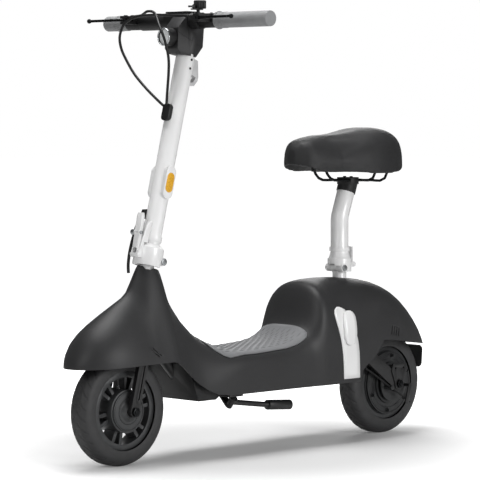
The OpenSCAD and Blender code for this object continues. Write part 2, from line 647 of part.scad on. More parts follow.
// Bracket of the latch on the front of the stem
latch_x = 39.6;
latch_s = 357;
module latch_bracket() color("#e6e6e6") on_axis(0) {
    translate([latch_x, 0, latch_s]) along_y(-14, 14, 3);
    difference() {
    union() {
        both_sides() side_plate(9, 13) {
            polygon([[19, 372], [32, 352], [latch_x + 4, 352], [latch_x + 4, 362], [34, 420], [29, 436], [19, 440]]);
            circle_at([latch_x, latch_s], 6);
        }
        box(20, 26, -10, 10, 410, 436);
    }
    cylinder(h = collar_top + 8 + seam, r = collar_r + seam);
    cylinder(h = 409 + seam, r = stem_r + 2.5 + seam);
    cylinder(h = stem_top, r = stem_r + seam);
    }
}

// Amber reflectors in white frames on both flanks of the stem
module reflectors() color("#e0a030") on_axis(536) difference() {
    both_sides() translate([0, stem_r - 8, 0]) rotate([-90, 0, 0]) linear_extrude(13)
        bar_2d([0, -24], [0, 24], 29);
    translate([0, 0, -50]) cylinder(h = 100, r = stem_r + seam);
}

grommet_s = 697;
exit_s = 452;
module cable_grommets() color("#d8d8d8") on_axis(0) difference() {
    union() {
        translate([stem_r - 6, 0, grommet_s]) rotate([0, 90, 0]) linear_extrude(14) round_rect(40, 24, 9);
        translate([0, 0, exit_s]) side_plate(-24, -12) polygon([[10, -6], [28, -6], [24, 14], [10, 18]]);
    }
    cylinder(h = stem_top, r = stem_r + seam);
}

hook_line = [[-stem_r - seam, -4], [-36, -6], [-46, -42], [-46, -52], [-38, -66], [-stem_r - seam, -70],
    [-stem_r - seam, -62], [-33, -58], [-38, -46], [-stem_r - seam, -42]];
module bag_hook() color("#8f8f8f") on_axis(stem_top) side_plate(-7, 7) polygon(hook_line);

// Block between the stem and the bar, with the round headlight in front
housing_r = 19;
module neck_block() color("#4a4a4a") {
    difference() {
        union() {
            on_axis(stem_top) cylinder(h = 40, r = stem_r + 2);
            on_bar() side_plate(-22, 22) polygon([[-26, -8], [-34, -16], [-30, -60], [-8, -84], [40, -76], [50, -64],
                [48, -16], [24, 10]]);
        }
        on_bar() along_y(-23, 23, housing_r + seam);
        on_bar() box(-housing_r - seam, housing_r + seam, -23, 23, 0, 40);
        on_axis(stem_top - 40) cylinder(h = 40, r = stem_r + seam);
        on_bar() translate([50, 0, -37.5]) rotate([0, -90, 0]) cylinder(h = 8, r = lamp_r - 3);
    }
}
module headlight_body() color("#202020") on_bar() translate([50, 0, -37.5]) rotate([0, 90, 0]) difference() {
    cylinder(h = 24, r = lamp_r);
    translate([0, 0, 6]) cylinder(h = 30, r = lamp_r - 3);
}
module headlight_lens() color("#dfe6ea") on_bar() translate([50, 0, -37.5]) rotate([0, 90, 0])
    translate([0, 0, 12]) cylinder(h = 8, r = lamp_r - 3);

module bar_tube() color("#3a3a3a") on_bar() difference() {
    along_y(-bar_len / 2 + 4, bar_len / 2 - 4, bar_r);
    along_y(-bar_len / 2, bar_len / 2, bar_r - 2);
}
module bar_housing() color("#2a2a2a") on_bar() difference() {
    union() {
        along_y(right_clamp[1] + seam, left_clamp[0] - seam, housing_r);
        box(-housing_r, housing_r, -60, 20, 0, housing_r);
    }
    along_y(-200, 100, bar_r + fit);
}
module display() color("#15181a") on_bar() box(-16, 16, -56, 16, housing_r + seam, housing_r + 4);

module left_grip() color("#8e8e8e") on_bar() difference() {
    union() {
        along_y(109, bar_len / 2, grip_r);
        along_y(107, 111, grip_r + 3);
    }
    along_y(100, bar_len / 2 - 4 + fit, bar_r + fit);
}

// Clamps that hold the brake levers
lever_x = 47;
left_clamp = [53, 105];
right_clamp = [-197, -150];
left_y = 88;
right_y = -160;
module perch(ends, y) {
    translate([lever_x, y, 0]) cylinder(h = 12, r = 3);
    difference() {
    union() {
        along_y(ends[0], ends[1], 17);
        box(0, lever_x + 9, y - 10, y + 10, -4, 15);
    }
    along_y(ends[0] - 1, ends[1] + 1, bar_r + fit);
    box(lever_x - 14, lever_x + 20, y - 30, y + 30, 2, 9);
    }
}
module lever_perches() color("#262626") on_bar() {
    perch(left_clamp, left_y);
    perch(right_clamp, right_y);
}

// Brake cables from the levers to the grommet on the stem
left_cable = [[712, 77.5, 1026], [719, 50, 1029], [722, 0, 1031], [723, -37, 1033], [725, -71, 1033],
    [728, -101, 1031], [733, -124, 1024], [737, -142, 1011], [743, -148, 985], [745, -142, 960],
    [745, -128, 936], [744, -97, 897], [743, -56, 862], [740, -22, 836], [736, -6, 823]];
right_cable = [[708, -149.5, 1029], [710, -132, 1032], [713, -105, 1034], [724, -72, 1042], [740, -30, 1036],
    [762, 8, 1008], [768, 28, 984], [764, 36, 955], [756, 34, 927], [748, 25, 896], [742, 14, 852],
    [737, 6, 825]];
module upper_cables() color("#141414") on_frame() {
    cable(left_cable, 3.2, 8, [0, 0, 1]);
    cable(right_cable, 3.2, 8, [0, 0, 1]);
}

module bell_base() color("#1e1e1e") on_bar() {
    translate([2, 40, housing_r + seam]) cylinder(h = 27 - housing_r - seam, r = 4);
    translate([2, 46, 28]) cylinder(h = 19, r = 13.5);
    box(-4, 27, 41, 51, 25, 28);
    translate([22, 46, 26]) cylinder(h = 12, r = 1.5);
}
module bell_striker() color("#1e1e1e") on_bar() translate([22, 46, 28 + run]) difference() {
    union() {
        cylinder(h = 8, r = 3.5);
        box(0, 15, -3, 3, 2, 6);
    }
    translate([0, 0, -1]) cylinder(h = 10, r = 1.5 + fit);
}

// Long lever that locks the stem upright
lock_at = [44, 408];
lock_r = 4;
module latch_lever() color("#f2f2f2") on_axis(0) difference() {
    union() {
        both_sides() side_plate(6, 8.6) {
            polygon([[35, 362], [39, 352], [45, 358], [50, 446], [48, 454], [44, 454], [41, 446], [38, 372]]);
            circle_at([latch_x, latch_s], 5);
            circle_at(lock_at, 6.5);
        }
        box(43, 48, -6.5, 6.5, 372, 454);
        translate([latch_x, 0, latch_s]) along_y(-6, 6, 5);
    }
    translate([latch_x, 0, latch_s]) along_y(-14, 14, 3 + fit);
    translate([lock_at[0], 0, lock_at[1]]) along_y(-14, 14, lock_r + fit);
}
module lock_button() color("#9a9a9a") on_axis(0) translate([lock_at[0], 0, lock_at[1]]) {
    along_y(-12, 12.6, lock_r);
    along_y(-20, -8.6 - run, 7);
}

module lever_blade() {
    linear_extrude(6) {
        circle(9);
        bar_2d([2, 4], [9, 40], 9);
        bar_2d([9, 40], [11, 112], 9);
        circle_at([11, 113], 7);
    }
}
module brake_lever_left() color("#222222") on_bar() translate([lever_x, left_y, 2 + run]) difference() {
    lever_blade();
    translate([0, 0, -1]) cylinder(h = 9, r = 3 + fit);
}
module brake_lever_right() color("#222222") on_bar() translate([lever_x, right_y, 2 + run]) mirror([0, 1, 0])
    difference() {
        lever_blade();
        translate([0, 0, -1]) cylinder(h = 9, r = 3 + fit);
    }

module throttle_grip() color("#8e8e8e") on_bar() difference() {
    along_y(-bar_len / 2, right_clamp[0] - run, grip_r);
    along_y(-bar_len / 2 + 4 - run, right_clamp[0] + 1, bar_r + fit);
}

// Cable pair from the stem down into the body
lower_cable_points = [[793.8, -20, 562.4], [801, -26, 547], [807, -28, 529], [815, -27, 511], [824, -26, 484],
    [829, -25, 458], [831, -22, 438]];
module lower_cable() color("#141414") on_frame() cable(lower_cable_points, 3.6, 8, [0, 1, 0]);

module kickstand_leg() color("#1a1a1a") {
    on_stand() {
        along_y(-stand_gap + run, stand_gap - run, 9);
        along_y(-16, 16, pin_r);
    }
    on_frame() translate([fore(-288), 76, 130]) {
        rod([-6, 0, -1.2], [-140, 3, -19], 6.5);
        rod([-118, 2.5, -16.2], [-190, 6, -21], 12);
    }
}

// Seat post with its collar, bent back near the top
bend = 19.5;
bend_r = 60;
bend_z = 536;
module on_post_top() translate([seat_x - bend_r, 0, bend_z]) rotate([0, -bend, 0]) translate([bend_r, 0, 0])
    children();
module seat_post() color("#efefef") difference() {
    union() {
        on_frame() {
            translate([seat_x, 0, 446]) cylinder(h = bend_z - 446, r = post_r);
            translate([seat_x - bend_r, 0, bend_z]) rotate([90, 0, 0])
                rotate_extrude(angle = bend) translate([bend_r, 0]) circle(post_r);
            on_post_top() cylinder(h = 56, r = post_r);
            on_post_top() cylinder(h = 75, r = post_r - 3);
            translate([seat_x, 0, 464]) cylinder(h = 10, r = post_r + 3);
            translate([seat_x, 0, 446]) cylinder(h = 16, r1 = 27, r2 = post_r);
            translate([seat_x, 0, 413 + run]) cylinder(h = 33 - run, r = 29.5);
        }
        on_seat_pin() along_y(-28, 28, 9.7);
        on_frame() both_sides() side_plate(11 + run, 16) bar_2d([seat_latch_x, 430], [seat_x - 18, 430], 13);
    }
    on_seat_latch() along_y(-20, 20, 2.5 + fit);
    on_seat_pin() {
        difference() {
            box(2, 30, -40, 40, -20, 6);
            along_y(-28, 28, 9.7);
        }
        box(-10, 30, -9 - run, 9 + run, -14, 9.5 + run);
        along_y(-30, 30, pin_r + fit);
        both_sides() along_y(28, 40, 8.1);
    }
}
module seat_pin() color("#777777") on_seat_pin() {
    along_y(-30, 30, pin_r);
    both_sides() along_y(28.1, 31, 7.5);
}
seat_latch_x = seat_x - 36;
module on_seat_latch() on_frame() translate([seat_latch_x, 0, 430]) children();
module seat_latch() color("#e2e2e2") on_seat_latch() {
    along_y(-17, 17, 2.5);
    along_y(-11, 11, 5);
    box(-4, 1, -9, 9, 0, 44);
}

// Clamp, rails and pan under the saddle
module saddle_clamp() color("#2a2a2a") on_frame() difference() {
    union() {
        translate([116, 0, 629]) cylinder(h = 17, r = post_r + 5);
        on_post_top() translate([0, 0, 56 + seam]) cylinder(h = 26, r = post_r + 2);
    }
    on_post_top() cylinder(h = 75 + seam, r = post_r - 3 + fit);
    both_sides() rod(rail_points[5], rail_points[6], rail_r + fit);
}
rail_points = [[0, 20, 668], [-6, 20, 655], [2, 20, 642], [20, 20, 636], [50, 20, 638], [80, 20, 638.4],
    [155, 20, 639.4], [186, 20, 640], [200, 20, 645], [210, 20, 654], [219, 20, 668]];
module saddle_rails() color("#444444") on_frame() both_sides() {
    cable(rail_points, rail_r, 10, [0, 1, 0]);
}
saddle_width = [[0, 0.5], [20, 0.74], [60, 0.94], [110, 1], [160, 0.93], [230, 0.68], [300, 0.53], [330, 0.47],
    [343, 0.36]];
saddle_top = [[0, 742], [30, 757], [90, 766], [170, 762], [230, 754], [300, 749], [330, 741], [343, 726]];
saddle_low = [[0, 686], [30, 664], [90, 656], [170, 657], [240, 668], [300, 682], [330, 690], [343, 694]];
saddle_stations = [0, 3, 9, 20, 38, 60, 90, 125, 160, 195, 230, 262, 290, 312, 328, 338, 343];
// depth of the hollow under the saddle, which holds the pan
hollow = 14;
pan_t = 4;
function saddle_end(x) = let (e = min(x / 24, (343 - x) / 30)) e >= 1 ? 1 : sqrt(max(0.12, 1 - pow(1 - e, 2)));
function saddle_reach(x) = saddle_half * curve(saddle_width, x) * saddle_end(x);
function hollow_at(x) = hollow * min(1, max(0, min(x - 6, 337 - x) / 20));
function saddle_x(x) = saddle_rear + x * saddle_len / 343;
module saddle() color("#3c3c3c") on_frame() loft([for (x = saddle_stations)
    let (w = saddle_reach(x), t = curve(saddle_top, x), b = curve(saddle_low, x), X = saddle_x(x)) concat(
    [for (a = [0 : 12 : 180]) [X, w * sign(cos(a)) * pow(abs(cos(a)), 0.6), b + (t - b) * pow(sin(a), 0.7)]],
    [for (k = [-1, -0.8, -0.4, 0, 0.4, 0.8, 1])
        [X, 0.94 * w * k, b - 1 + (abs(k) < 1 ? 2.5 + hollow_at(x) - 1.5 * k * k : 0)]])]);
module saddle_base() color("#222222") on_frame() loft([for (x = saddle_stations) if (x > 25 && x < 320)
    let (w = 0.72 * saddle_reach(x), z = curve(saddle_low, x) + hollow - seam, X = saddle_x(x))
    [[X, w, z - pan_t], [X, w, z], [X, -w, z], [X, -w, z - pan_t]]]);

body_shell();
main_frame();
belly_tray();
battery_pack();
controller_box();
deck_mat();
side_strips();
side_pads();
mud_flap();
tail_light();
seat_socket();
kickstand_bracket();
rear_axle();
motor_stator();
rear_brake_plate();
rear_brake_arm();
rear_cable();
head_bearings();
fork();
steerer_neck();
front_axle();
front_hub_cap();
front_tyre();
front_rim();
front_bearings();
rear_tyre();
rear_rim();
motor_covers();
rear_bearings();
stem_tube();
fold_pin();
latch_bracket();
reflectors();
cable_grommets();
bag_hook();
neck_block();
headlight_body();
headlight_lens();
bar_tube();
bar_housing();
display();
left_grip();
lever_perches();
upper_cables();
bell_base();
bell_striker();
latch_lever();
lock_button();
brake_lever_left();
brake_lever_right();
throttle_grip();
lower_cable();
kickstand_leg();
seat_post();
seat_pin();
saddle_clamp();
saddle_rails();
saddle_base();
saddle();
seat_latch();
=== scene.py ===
import json
import math

import bmesh
import bpy
from bpy.props import (
    FloatProperty,
    IntProperty,
    PointerProperty,
    StringProperty,
)
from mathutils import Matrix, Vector


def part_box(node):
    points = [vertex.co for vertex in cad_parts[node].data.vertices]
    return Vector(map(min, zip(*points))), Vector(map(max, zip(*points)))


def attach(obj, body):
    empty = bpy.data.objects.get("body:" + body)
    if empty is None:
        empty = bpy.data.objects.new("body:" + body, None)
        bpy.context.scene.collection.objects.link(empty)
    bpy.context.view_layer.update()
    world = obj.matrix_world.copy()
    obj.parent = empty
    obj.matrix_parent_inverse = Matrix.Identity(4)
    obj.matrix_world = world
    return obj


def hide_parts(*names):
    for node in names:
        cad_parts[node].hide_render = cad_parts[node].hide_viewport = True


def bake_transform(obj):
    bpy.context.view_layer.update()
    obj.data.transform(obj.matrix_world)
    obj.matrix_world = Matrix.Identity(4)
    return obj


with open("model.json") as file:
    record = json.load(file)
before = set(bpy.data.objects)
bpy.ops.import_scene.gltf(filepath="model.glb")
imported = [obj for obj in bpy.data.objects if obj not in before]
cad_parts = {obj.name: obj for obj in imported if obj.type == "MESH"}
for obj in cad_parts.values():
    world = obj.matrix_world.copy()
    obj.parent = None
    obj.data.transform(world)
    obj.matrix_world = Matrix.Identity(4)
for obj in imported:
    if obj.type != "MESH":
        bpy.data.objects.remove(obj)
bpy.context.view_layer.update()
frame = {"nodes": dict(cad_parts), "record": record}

bl_info = {
    "name": "Seated Electric Scooter",
    "version": (1, 0, 0),
    "blender": (4, 5, 0),
    "location": "View3D > Sidebar > Scooter",
    "description": "Dresses the frame of a seated electric scooter",
    "category": "Add Mesh",
}

# Places that the frame's own source uses, in metres
REAR_X = -0.4455
MM = 0.001
FRONT_X = 0.4395
WHEEL_R = 0.1275
TILT = math.radians(14.4)
AXIS = Vector((-math.sin(TILT), 0, math.cos(TILT)))
AHEAD = Vector((math.cos(TILT), 0, math.sin(TILT)))
AXIS_FOOT = Vector((FRONT_X, 0, WHEEL_R)) - 0.006 * AHEAD
SIDE = Vector((0, 1, 0))


def on_axis(ahead, side, along):
    """Point beside the steering axis, in metres: ahead of it, to the left, and along it."""
    return AXIS_FOOT + ahead * AHEAD + side * SIDE + along * AXIS


BAR = on_axis(0.0155, 0, 0.9175)


def at(x, y, z):
    """Point given in millimetres: ahead of the rear axle, to the left, and above the ground."""
    return Vector((REAR_X + x * MM, y * MM, z * MM))


def on_bar(x, y, z):
    """Point given in millimetres from the middle of the handlebar."""
    return BAR + Vector((x, y, z)) * MM


# Routes of the cables: the same points as in the frame's source
LEFT_CABLE = ((712, 77.5, 1026), (719, 50, 1029), (722, 0, 1031), (723, -37, 1033), (725, -71, 1033),
              (728, -101, 1031), (733, -124, 1024), (737, -142, 1011), (743, -148, 985), (745, -142, 960),
              (745, -128, 936), (744, -97, 897), (743, -56, 862), (740, -22, 836), (736, -6, 823))
RIGHT_CABLE = ((708, -149.5, 1029), (710, -132, 1032), (713, -105, 1034), (724, -72, 1042), (740, -30, 1036),
               (762, 8, 1008), (768, 28, 984), (764, 36, 955), (756, 34, 927), (748, 25, 896), (742, 14, 852),
               (737, 6, 825))
REAR_CABLE = ((150, 71, 190), (120, 71, 172), (90, 71, 155), (62, 71, 138), (32, 71, 120.5), (6, 71, 105.5),
              (-38, 71, 79.5))
LOWER_CABLE = ((793.8, -20, 562.4), (801, -26, 547), (807, -28, 529), (815, -27, 511), (824, -26, 484),
               (829, -25, 458), (831, -22, 438))


# Settings


class ScooterSizes(bpy.types.PropertyGroup):
    """Sizes of the details that the look adds."""

    groove_depth: FloatProperty(
        name="Groove depth", description="Depth of the grooves in the tread", default=0.0024,
        min=0.0005, max=0.003, unit="LENGTH",
    )
    groove_count: IntProperty(
        name="Grooves", description="Grooves on each side of the tread", default=28, min=12, max=60
    )
    bell_ribs: IntProperty(name="Bell ribs", description="Ribs round the bell's cap", default=18, min=8, max=40)
    saddle_swell: FloatProperty(
        name="Saddle swell", description="Most that the saddle's padding swells", default=0.004,
        min=0.0, max=0.01, unit="LENGTH",
    )
    rib_pitch: FloatProperty(
        name="Rib pitch", description="Distance along the deck between the ribs of the mat", default=0.024,
        min=0.015, max=0.04, unit="LENGTH",
    )


class ScooterColours(bpy.types.PropertyGroup):
    """Colours of the main finishes, as sRGB hex values."""

    body: StringProperty(name="Body", description="Colour of the moulded body", default="#29292a")
    tubes: StringProperty(name="Tubes", description="Colour of the enamelled tubes", default="#eeeeee")
    mat: StringProperty(name="Mat", description="Colour of the deck mat", default="#747577")
    saddle: StringProperty(name="Saddle", description="Colour of the saddle's cover", default="#232324")
    grips: StringProperty(name="Grips", description="Colour of the grips", default="#8b8c8d")


# Materials


def linear(text):
    """Linear colour of an sRGB hex value."""
    parts = [int(text[i : i + 2], 16) / 255 for i in (1, 3, 5)]
    return [p / 12.92 if p <= 0.04045 else ((p + 0.055) / 1.055) ** 2.4 for p in parts] + [1.0]


def node(tree, kind, settings=None, links=None):
    """Add a node with its settings and links."""
    new = tree.nodes.new(kind)
    for key, value in (settings or {}).items():
        if isinstance(key, int) or key in new.inputs:
            new.inputs[key].default_value = value
        else:
            setattr(new, key, value)
    for key, (source, output) in (links or {}).items():
        tree.links.new(source.outputs[output], new.inputs[key])
    return new


def finish(name, **sockets):
    """New material with its Principled sockets set."""
    material = bpy.data.materials.new(name)
    material.use_nodes = True
    shader = material.node_tree.nodes["Principled BSDF"]
    for key, value in sockets.items():
        key = key.replace("_", " ").capitalize() if key != "ior" else "IOR"
        names = {"Base color": "Base Color", "Emission color": "Emission Color",
                 "Emission strength": "Emission Strength", "Coat weight": "Coat Weight",
                 "Coat roughness": "Coat Roughness", "Sheen weight": "Sheen Weight",
                 "Transmission weight": "Transmission Weight",
                 "Specular ior level": "Specular IOR Level", "Subsurface weight": "Subsurface Weight",
                 "Subsurface radius": "Subsurface Radius", "Subsurface scale": "Subsurface Scale"}
        key = names.get(key, key)
        shader.inputs[key].default_value = linear(value) if isinstance(value, str) else value
    return material, material.node_tree, shader


def mottle(tree, shader, colour, size, amount, roughness, spread):
    """Uneven colour and gloss: patches of the given size in metres."""
    place = node(tree, "ShaderNodeTexCoord")
    noise = node(tree, "ShaderNodeTexNoise", {"Scale": 1 / size, "Detail": 4.0}, {"Vector": (place, "Object")})
    base = linear(colour)
    dark = [c * (1 - amount) for c in base[:3]] + [1.0]
    light = [min(1.0, c * (1 + amount)) for c in base[:3]] + [1.0]
    ramp = node(tree, "ShaderNodeValToRGB", {}, {"Fac": (noise, "Fac")})
    ramp.color_ramp.elements[0].position = 0.35
    ramp.color_ramp.elements[0].color = dark
    ramp.color_ramp.elements[1].position = 0.65
    ramp.color_ramp.elements[1].color = light
    tree.links.new(ramp.outputs["Color"], shader.inputs["Base Color"])
    gloss = node(tree, "ShaderNodeMapRange", {"To Min": roughness - spread, "To Max": roughness + spread},
                 {"Value": (noise, "Fac")})
    tree.links.new(gloss.outputs["Result"], shader.inputs["Roughness"])
    return place


def relief(tree, shader, height, output, distance, strength=1.0):
    """Bump of the given height in metres."""
    bump = node(tree, "ShaderNodeBump", {"Strength": strength, "Distance": distance}, {"Height": (height, output)})
    tree.links.new(bump.outputs["Normal"], shader.inputs["Normal"])
    return bump


def moulded_polypropylene(colour):
    # Polypropylene from a spark-eroded mould: satin, with a fine even pebble. The real grain is
    # 0.3 mm and is drawn at 1.6 mm so that it shows.
    material, tree, shader = finish("moulded_polypropylene", roughness=0.5, ior=1.49, specular_ior_level=0.4)
    place = mottle(tree, shader, colour, 0.09, 0.05, 0.5, 0.05)
    grain = node(tree, "ShaderNodeTexNoise", {"Scale": 620.0, "Detail": 2.0}, {"Vector": (place, "Object")})
    relief(tree, shader, grain, "Fac", 0.00025, 0.5)
    return material


def moulded_abs(name, colour, roughness):
    # ABS housings: a matt moulded skin with a faint orange peel of about 2 mm
    material, tree, shader = finish(name, roughness=roughness, ior=1.53, specular_ior_level=0.35)
    place = mottle(tree, shader, colour, 0.03, 0.08, roughness, 0.06)
    peel = node(tree, "ShaderNodeTexNoise", {"Scale": 500.0, "Detail": 3.0}, {"Vector": (place, "Object")})
    relief(tree, shader, peel, "Fac", 0.0002, 0.5)
    return material


def powder_coat(name, colour, roughness):
    # Powder coat on steel: rounded orange peel about 2.5 mm across
    material, tree, shader = finish(name, roughness=roughness, ior=1.5)
    place = mottle(tree, shader, colour, 0.05, 0.06, roughness, 0.05)
    peel = node(tree, "ShaderNodeTexVoronoi", {"Scale": 420.0, "feature": "SMOOTH_F1"},
                {"Vector": (place, "Object")})
    relief(tree, shader, peel, "Distance", 0.0002, 0.4)
    return material


def stove_enamel(name, colour, roughness):
    # White stove enamel on aluminium: a clear gloss over a very even colour
    material, tree, shader = finish(name, roughness=roughness, ior=1.5, coat_weight=0.35, coat_roughness=0.18)
    place = mottle(tree, shader, colour, 0.12, 0.012, roughness, 0.03)
    peel = node(tree, "ShaderNodeTexNoise", {"Scale": 260.0, "Detail": 1.0}, {"Vector": (place, "Object")})
    relief(tree, shader, peel, "Fac", 0.0001, 0.25)
    return material


def plated_steel(name, colour, roughness):
    # Zinc-plated steel: fine crystalline mottling and a soft metallic gloss
    material, tree, shader = finish(name, metallic=1.0, roughness=roughness)
    place = mottle(tree, shader, colour, 0.004, 0.08, roughness, 0.08)
    cells = node(tree, "ShaderNodeTexVoronoi", {"Scale": 900.0}, {"Vector": (place, "Object")})
    relief(tree, shader, cells, "Distance", 0.00008, 0.3)
    return material


def turned_alloy(name, colour, roughness, metallic):
    # Cast alloy under dark satin paint, turned on a lathe; drawn with a fine cast grain
    material, tree, shader = finish(name, metallic=metallic, roughness=roughness)
    place = mottle(tree, shader, colour, 0.02, 0.07, roughness, 0.05)
    cast = node(tree, "ShaderNodeTexNoise", {"Scale": 700.0, "Detail": 2.0}, {"Vector": (place, "Object")})
    relief(tree, shader, cast, "Fac", 0.0002, 0.35)
    return material


def tread_rubber():
    # Tyre rubber: dull black, with uneven dusty patches and fine moulded pores
    material, tree, shader = finish("tread_rubber", roughness=0.6, ior=1.52)
    place = mottle(tree, shader, "#303031", 0.018, 0.12, 0.6, 0.08)
    pores = node(tree, "ShaderNodeTexNoise", {"Scale": 900.0, "Detail": 3.0}, {"Vector": (place, "Object")})
    relief(tree, shader, pores, "Fac", 0.0003, 0.6)
    return material


def soft_rubber(name, colour, size, depth):
    # Soft moulded rubber with a dry skin
    material, tree, shader = finish(name, roughness=0.68, ior=1.52, sheen_weight=0.08)
    place = mottle(tree, shader, colour, 0.03, 0.05, 0.68, 0.05)
    skin = node(tree, "ShaderNodeTexNoise", {"Scale": 1 / size, "Detail": 3.0}, {"Vector": (place, "Object")})
    relief(tree, shader, skin, "Fac", depth, 0.6)
    return material


def grained_vinyl(colour):
    # Vinyl-coated saddle cover: shallow leather grain, cells about 2.2 mm across and drawn at 3.2 mm
    material, tree, shader = finish("grained_vinyl", roughness=0.55, ior=1.5, specular_ior_level=0.35)
    place = mottle(tree, shader, colour, 0.05, 0.06, 0.55, 0.06)
    cells = node(tree, "ShaderNodeTexVoronoi", {"Scale": 310.0, "feature": "DISTANCE_TO_EDGE"},
                 {"Vector": (place, "Object")})
    soft = node(tree, "ShaderNodeMapRange", {"From Max": 0.25, "interpolation_type": "SMOOTHSTEP"},
                {"Value": (cells, "Distance")})
    relief(tree, shader, soft, "Result", 0.00025, 0.45)
    return material


def prismatic_acrylic(name, colour, prism_glint):
    # Reflector acrylic: small moulded prisms about 3 mm across under a smooth clear face. Each prism is painted lighter
    # in its middle and darker at its edges, a painted glint and painted shade.
    material, tree, shader = finish(name, base_color=colour, roughness=0.16, ior=1.49, coat_weight=0.8,
                                    coat_roughness=0.05)
    place = node(tree, "ShaderNodeTexCoord")
    prisms = node(tree, "ShaderNodeTexVoronoi", {"Scale": 330.0, "distance": "CHEBYCHEV"},
                  {"Vector": (place, "Object")})
    base = linear(colour)
    # Painted glint and shade: the middle of each prism is brighter than the acrylic's colour and its edges are darker
    ramp = node(tree, "ShaderNodeValToRGB", {}, {"Fac": (prisms, "Distance")})
    ramp.color_ramp.elements[0].color = [min(1.0, c * prism_glint) for c in base[:3]] + [1.0]
    ramp.color_ramp.elements[1].color = [c * 0.7 for c in base[:3]] + [1.0]
    tree.links.new(ramp.outputs["Color"], shader.inputs["Base Color"])
    relief(tree, shader, prisms, "Distance", 0.0008, 0.5)
    return material


def frosted_polycarbonate():
    # Headlight lens: clear polycarbonate over a white reflector, with fine moulded rings 1.2 mm apart
    material, tree, shader = finish("frosted_polycarbonate", base_color="#f6f8f9", roughness=0.12, ior=1.58,
                                    coat_weight=0.5, coat_roughness=0.05)
    place = node(tree, "ShaderNodeTexCoord")
    middle = node(tree, "ShaderNodeVectorMath", {"operation": "SUBTRACT", 1: on_bar(62, 0, -37.5)},
                  {0: (place, "Object")})
    rings = node(tree, "ShaderNodeTexWave", {"wave_type": "RINGS", "rings_direction": "X", "Scale": 260.0},
                 {"Vector": (middle, "Vector")})
    relief(tree, shader, rings, "Fac", 0.0003, 0.6)
    return material


def display_glass():
    # Dark acrylic over the display
    material, tree, shader = finish("display_glass", roughness=0.12, ior=1.49, coat_weight=0.6, coat_roughness=0.04)
    mottle(tree, shader, "#121415", 0.02, 0.1, 0.12, 0.02)
    return material


def cable_sheath():
    # Black vinyl sheath of the cables, slightly glossy, with a faint fine texture
    material, tree, shader = finish("cable_sheath", roughness=0.45, ior=1.53, specular_ior_level=0.35)
    place = mottle(tree, shader, "#101011", 0.02, 0.1, 0.45, 0.05)
    rings = node(tree, "ShaderNodeTexNoise", {"Scale": 420.0, "Detail": 1.0}, {"Vector": (place, "Object")})
    relief(tree, shader, rings, "Fac", 0.0002, 0.3)
    return material


FINISHES = {}


def make_finishes(colours):
    """Make each material once."""
    FINISHES.update(
        body=moulded_polypropylene(colours.body),
        black=moulded_abs("moulded_abs_black", "#121213", 0.5),
        block=moulded_abs("moulded_nylon_grey", "#272728", 0.5),
        hook=moulded_abs("moulded_nylon_light", "#c4c4c5", 0.45),
        battery=moulded_abs("shrink_film", "#30343a", 0.35),
        frame=powder_coat("powder_coat_black", "#151516", 0.4),
        white=stove_enamel("stove_enamel_white", colours.tubes, 0.3),
        trim=stove_enamel("gloss_abs_white", "#e9e9e9", 0.25),
        steel=plated_steel("zinc_plated_steel", "#a8abad", 0.32),
        dark_steel=plated_steel("blackened_steel", "#242526", 0.4),
        core=plated_steel("laminated_motor_steel", "#7a5a3a", 0.45),
        alloy=turned_alloy("painted_cast_alloy", "#222324", 0.42, 0.1),
        # The rims and front hub cap are a lighter grey than the other cast alloy: partly their own colour, partly a
        # painted highlight of the rim's ring
        rim=turned_alloy("satin_cast_alloy_painted_highlight", "#414243", 0.38, 0.35),
        raw_alloy=turned_alloy("cast_aluminium", "#9a9da1", 0.45, 0.9),
        tyre=tread_rubber(),
        flap=soft_rubber("flap_rubber", "#1c1c1d", 0.002, 0.0003),
        grip=soft_rubber("grip_rubber", colours.grips, 0.002, 0.0003),
        mat=soft_rubber("mat_rubber", colours.mat, 0.0025, 0.0004),
        rib=soft_rubber("rib_rubber", "#68696b", 0.0025, 0.0003),
        saddle=grained_vinyl(colours.saddle),
        # The amber and red acrylic carry a painted glint and painted shade on their prisms
        amber=prismatic_acrylic("amber_acrylic", "#e2a22a", 1.5),
        red=prismatic_acrylic("red_acrylic", "#b02020", 1.4),
        clear=frosted_polycarbonate(),
        chrome=plated_steel("bright_chrome", "#d6d9db", 0.12),
        glass=display_glass(),
        cable=cable_sheath(),
    )


# Modelling helpers


def clear_selection():
    """Leave edit mode and deselect everything."""
    if bpy.context.object and bpy.context.object.mode != "OBJECT":
        bpy.ops.object.mode_set(mode="OBJECT")
    bpy.ops.object.select_all(action="DESELECT")


def pick(obj):
    """Make one object the only selected and active one."""
    clear_selection()
    obj.select_set(True)
    bpy.context.view_layer.objects.active = obj


def settle(obj, name, finish_name, body, smooth=30):
    """Name, finish and place a new piece, and let it ride on its body."""
    pick(obj)
    bpy.ops.object.transform_apply(location=True, rotation=True, scale=True)
    if smooth:
        bpy.ops.object.shade_smooth_by_angle(angle=math.radians(smooth))
    obj.name = name
    obj.data.name = name
    obj.data.materials.clear()
    obj.data.materials.append(FINISHES[finish_name])
    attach(obj, body)
    return obj


def apply_modifiers(obj):
    """Apply all modifiers of a piece."""
    pick(obj)
    for modifier in list(obj.modifiers):
        bpy.ops.object.modifier_apply(modifier=modifier.name)


def bevel(obj, width, segments=2, angle=32):
    """Round the sharp edges of a piece."""
    modifier = obj.modifiers.new("rounding", "BEVEL")
    modifier.width = width
    modifier.segments = segments
    modifier.limit_method = "ANGLE"
    modifier.angle_limit = math.radians(angle)
    modifier.harden_normals = False
    apply_modifiers(obj)


def turned(axis):
    """Rotation that lays a cylinder's length along an axis."""
    return Vector((0, 0, 1)).rotation_difference(Vector(axis)).to_euler()


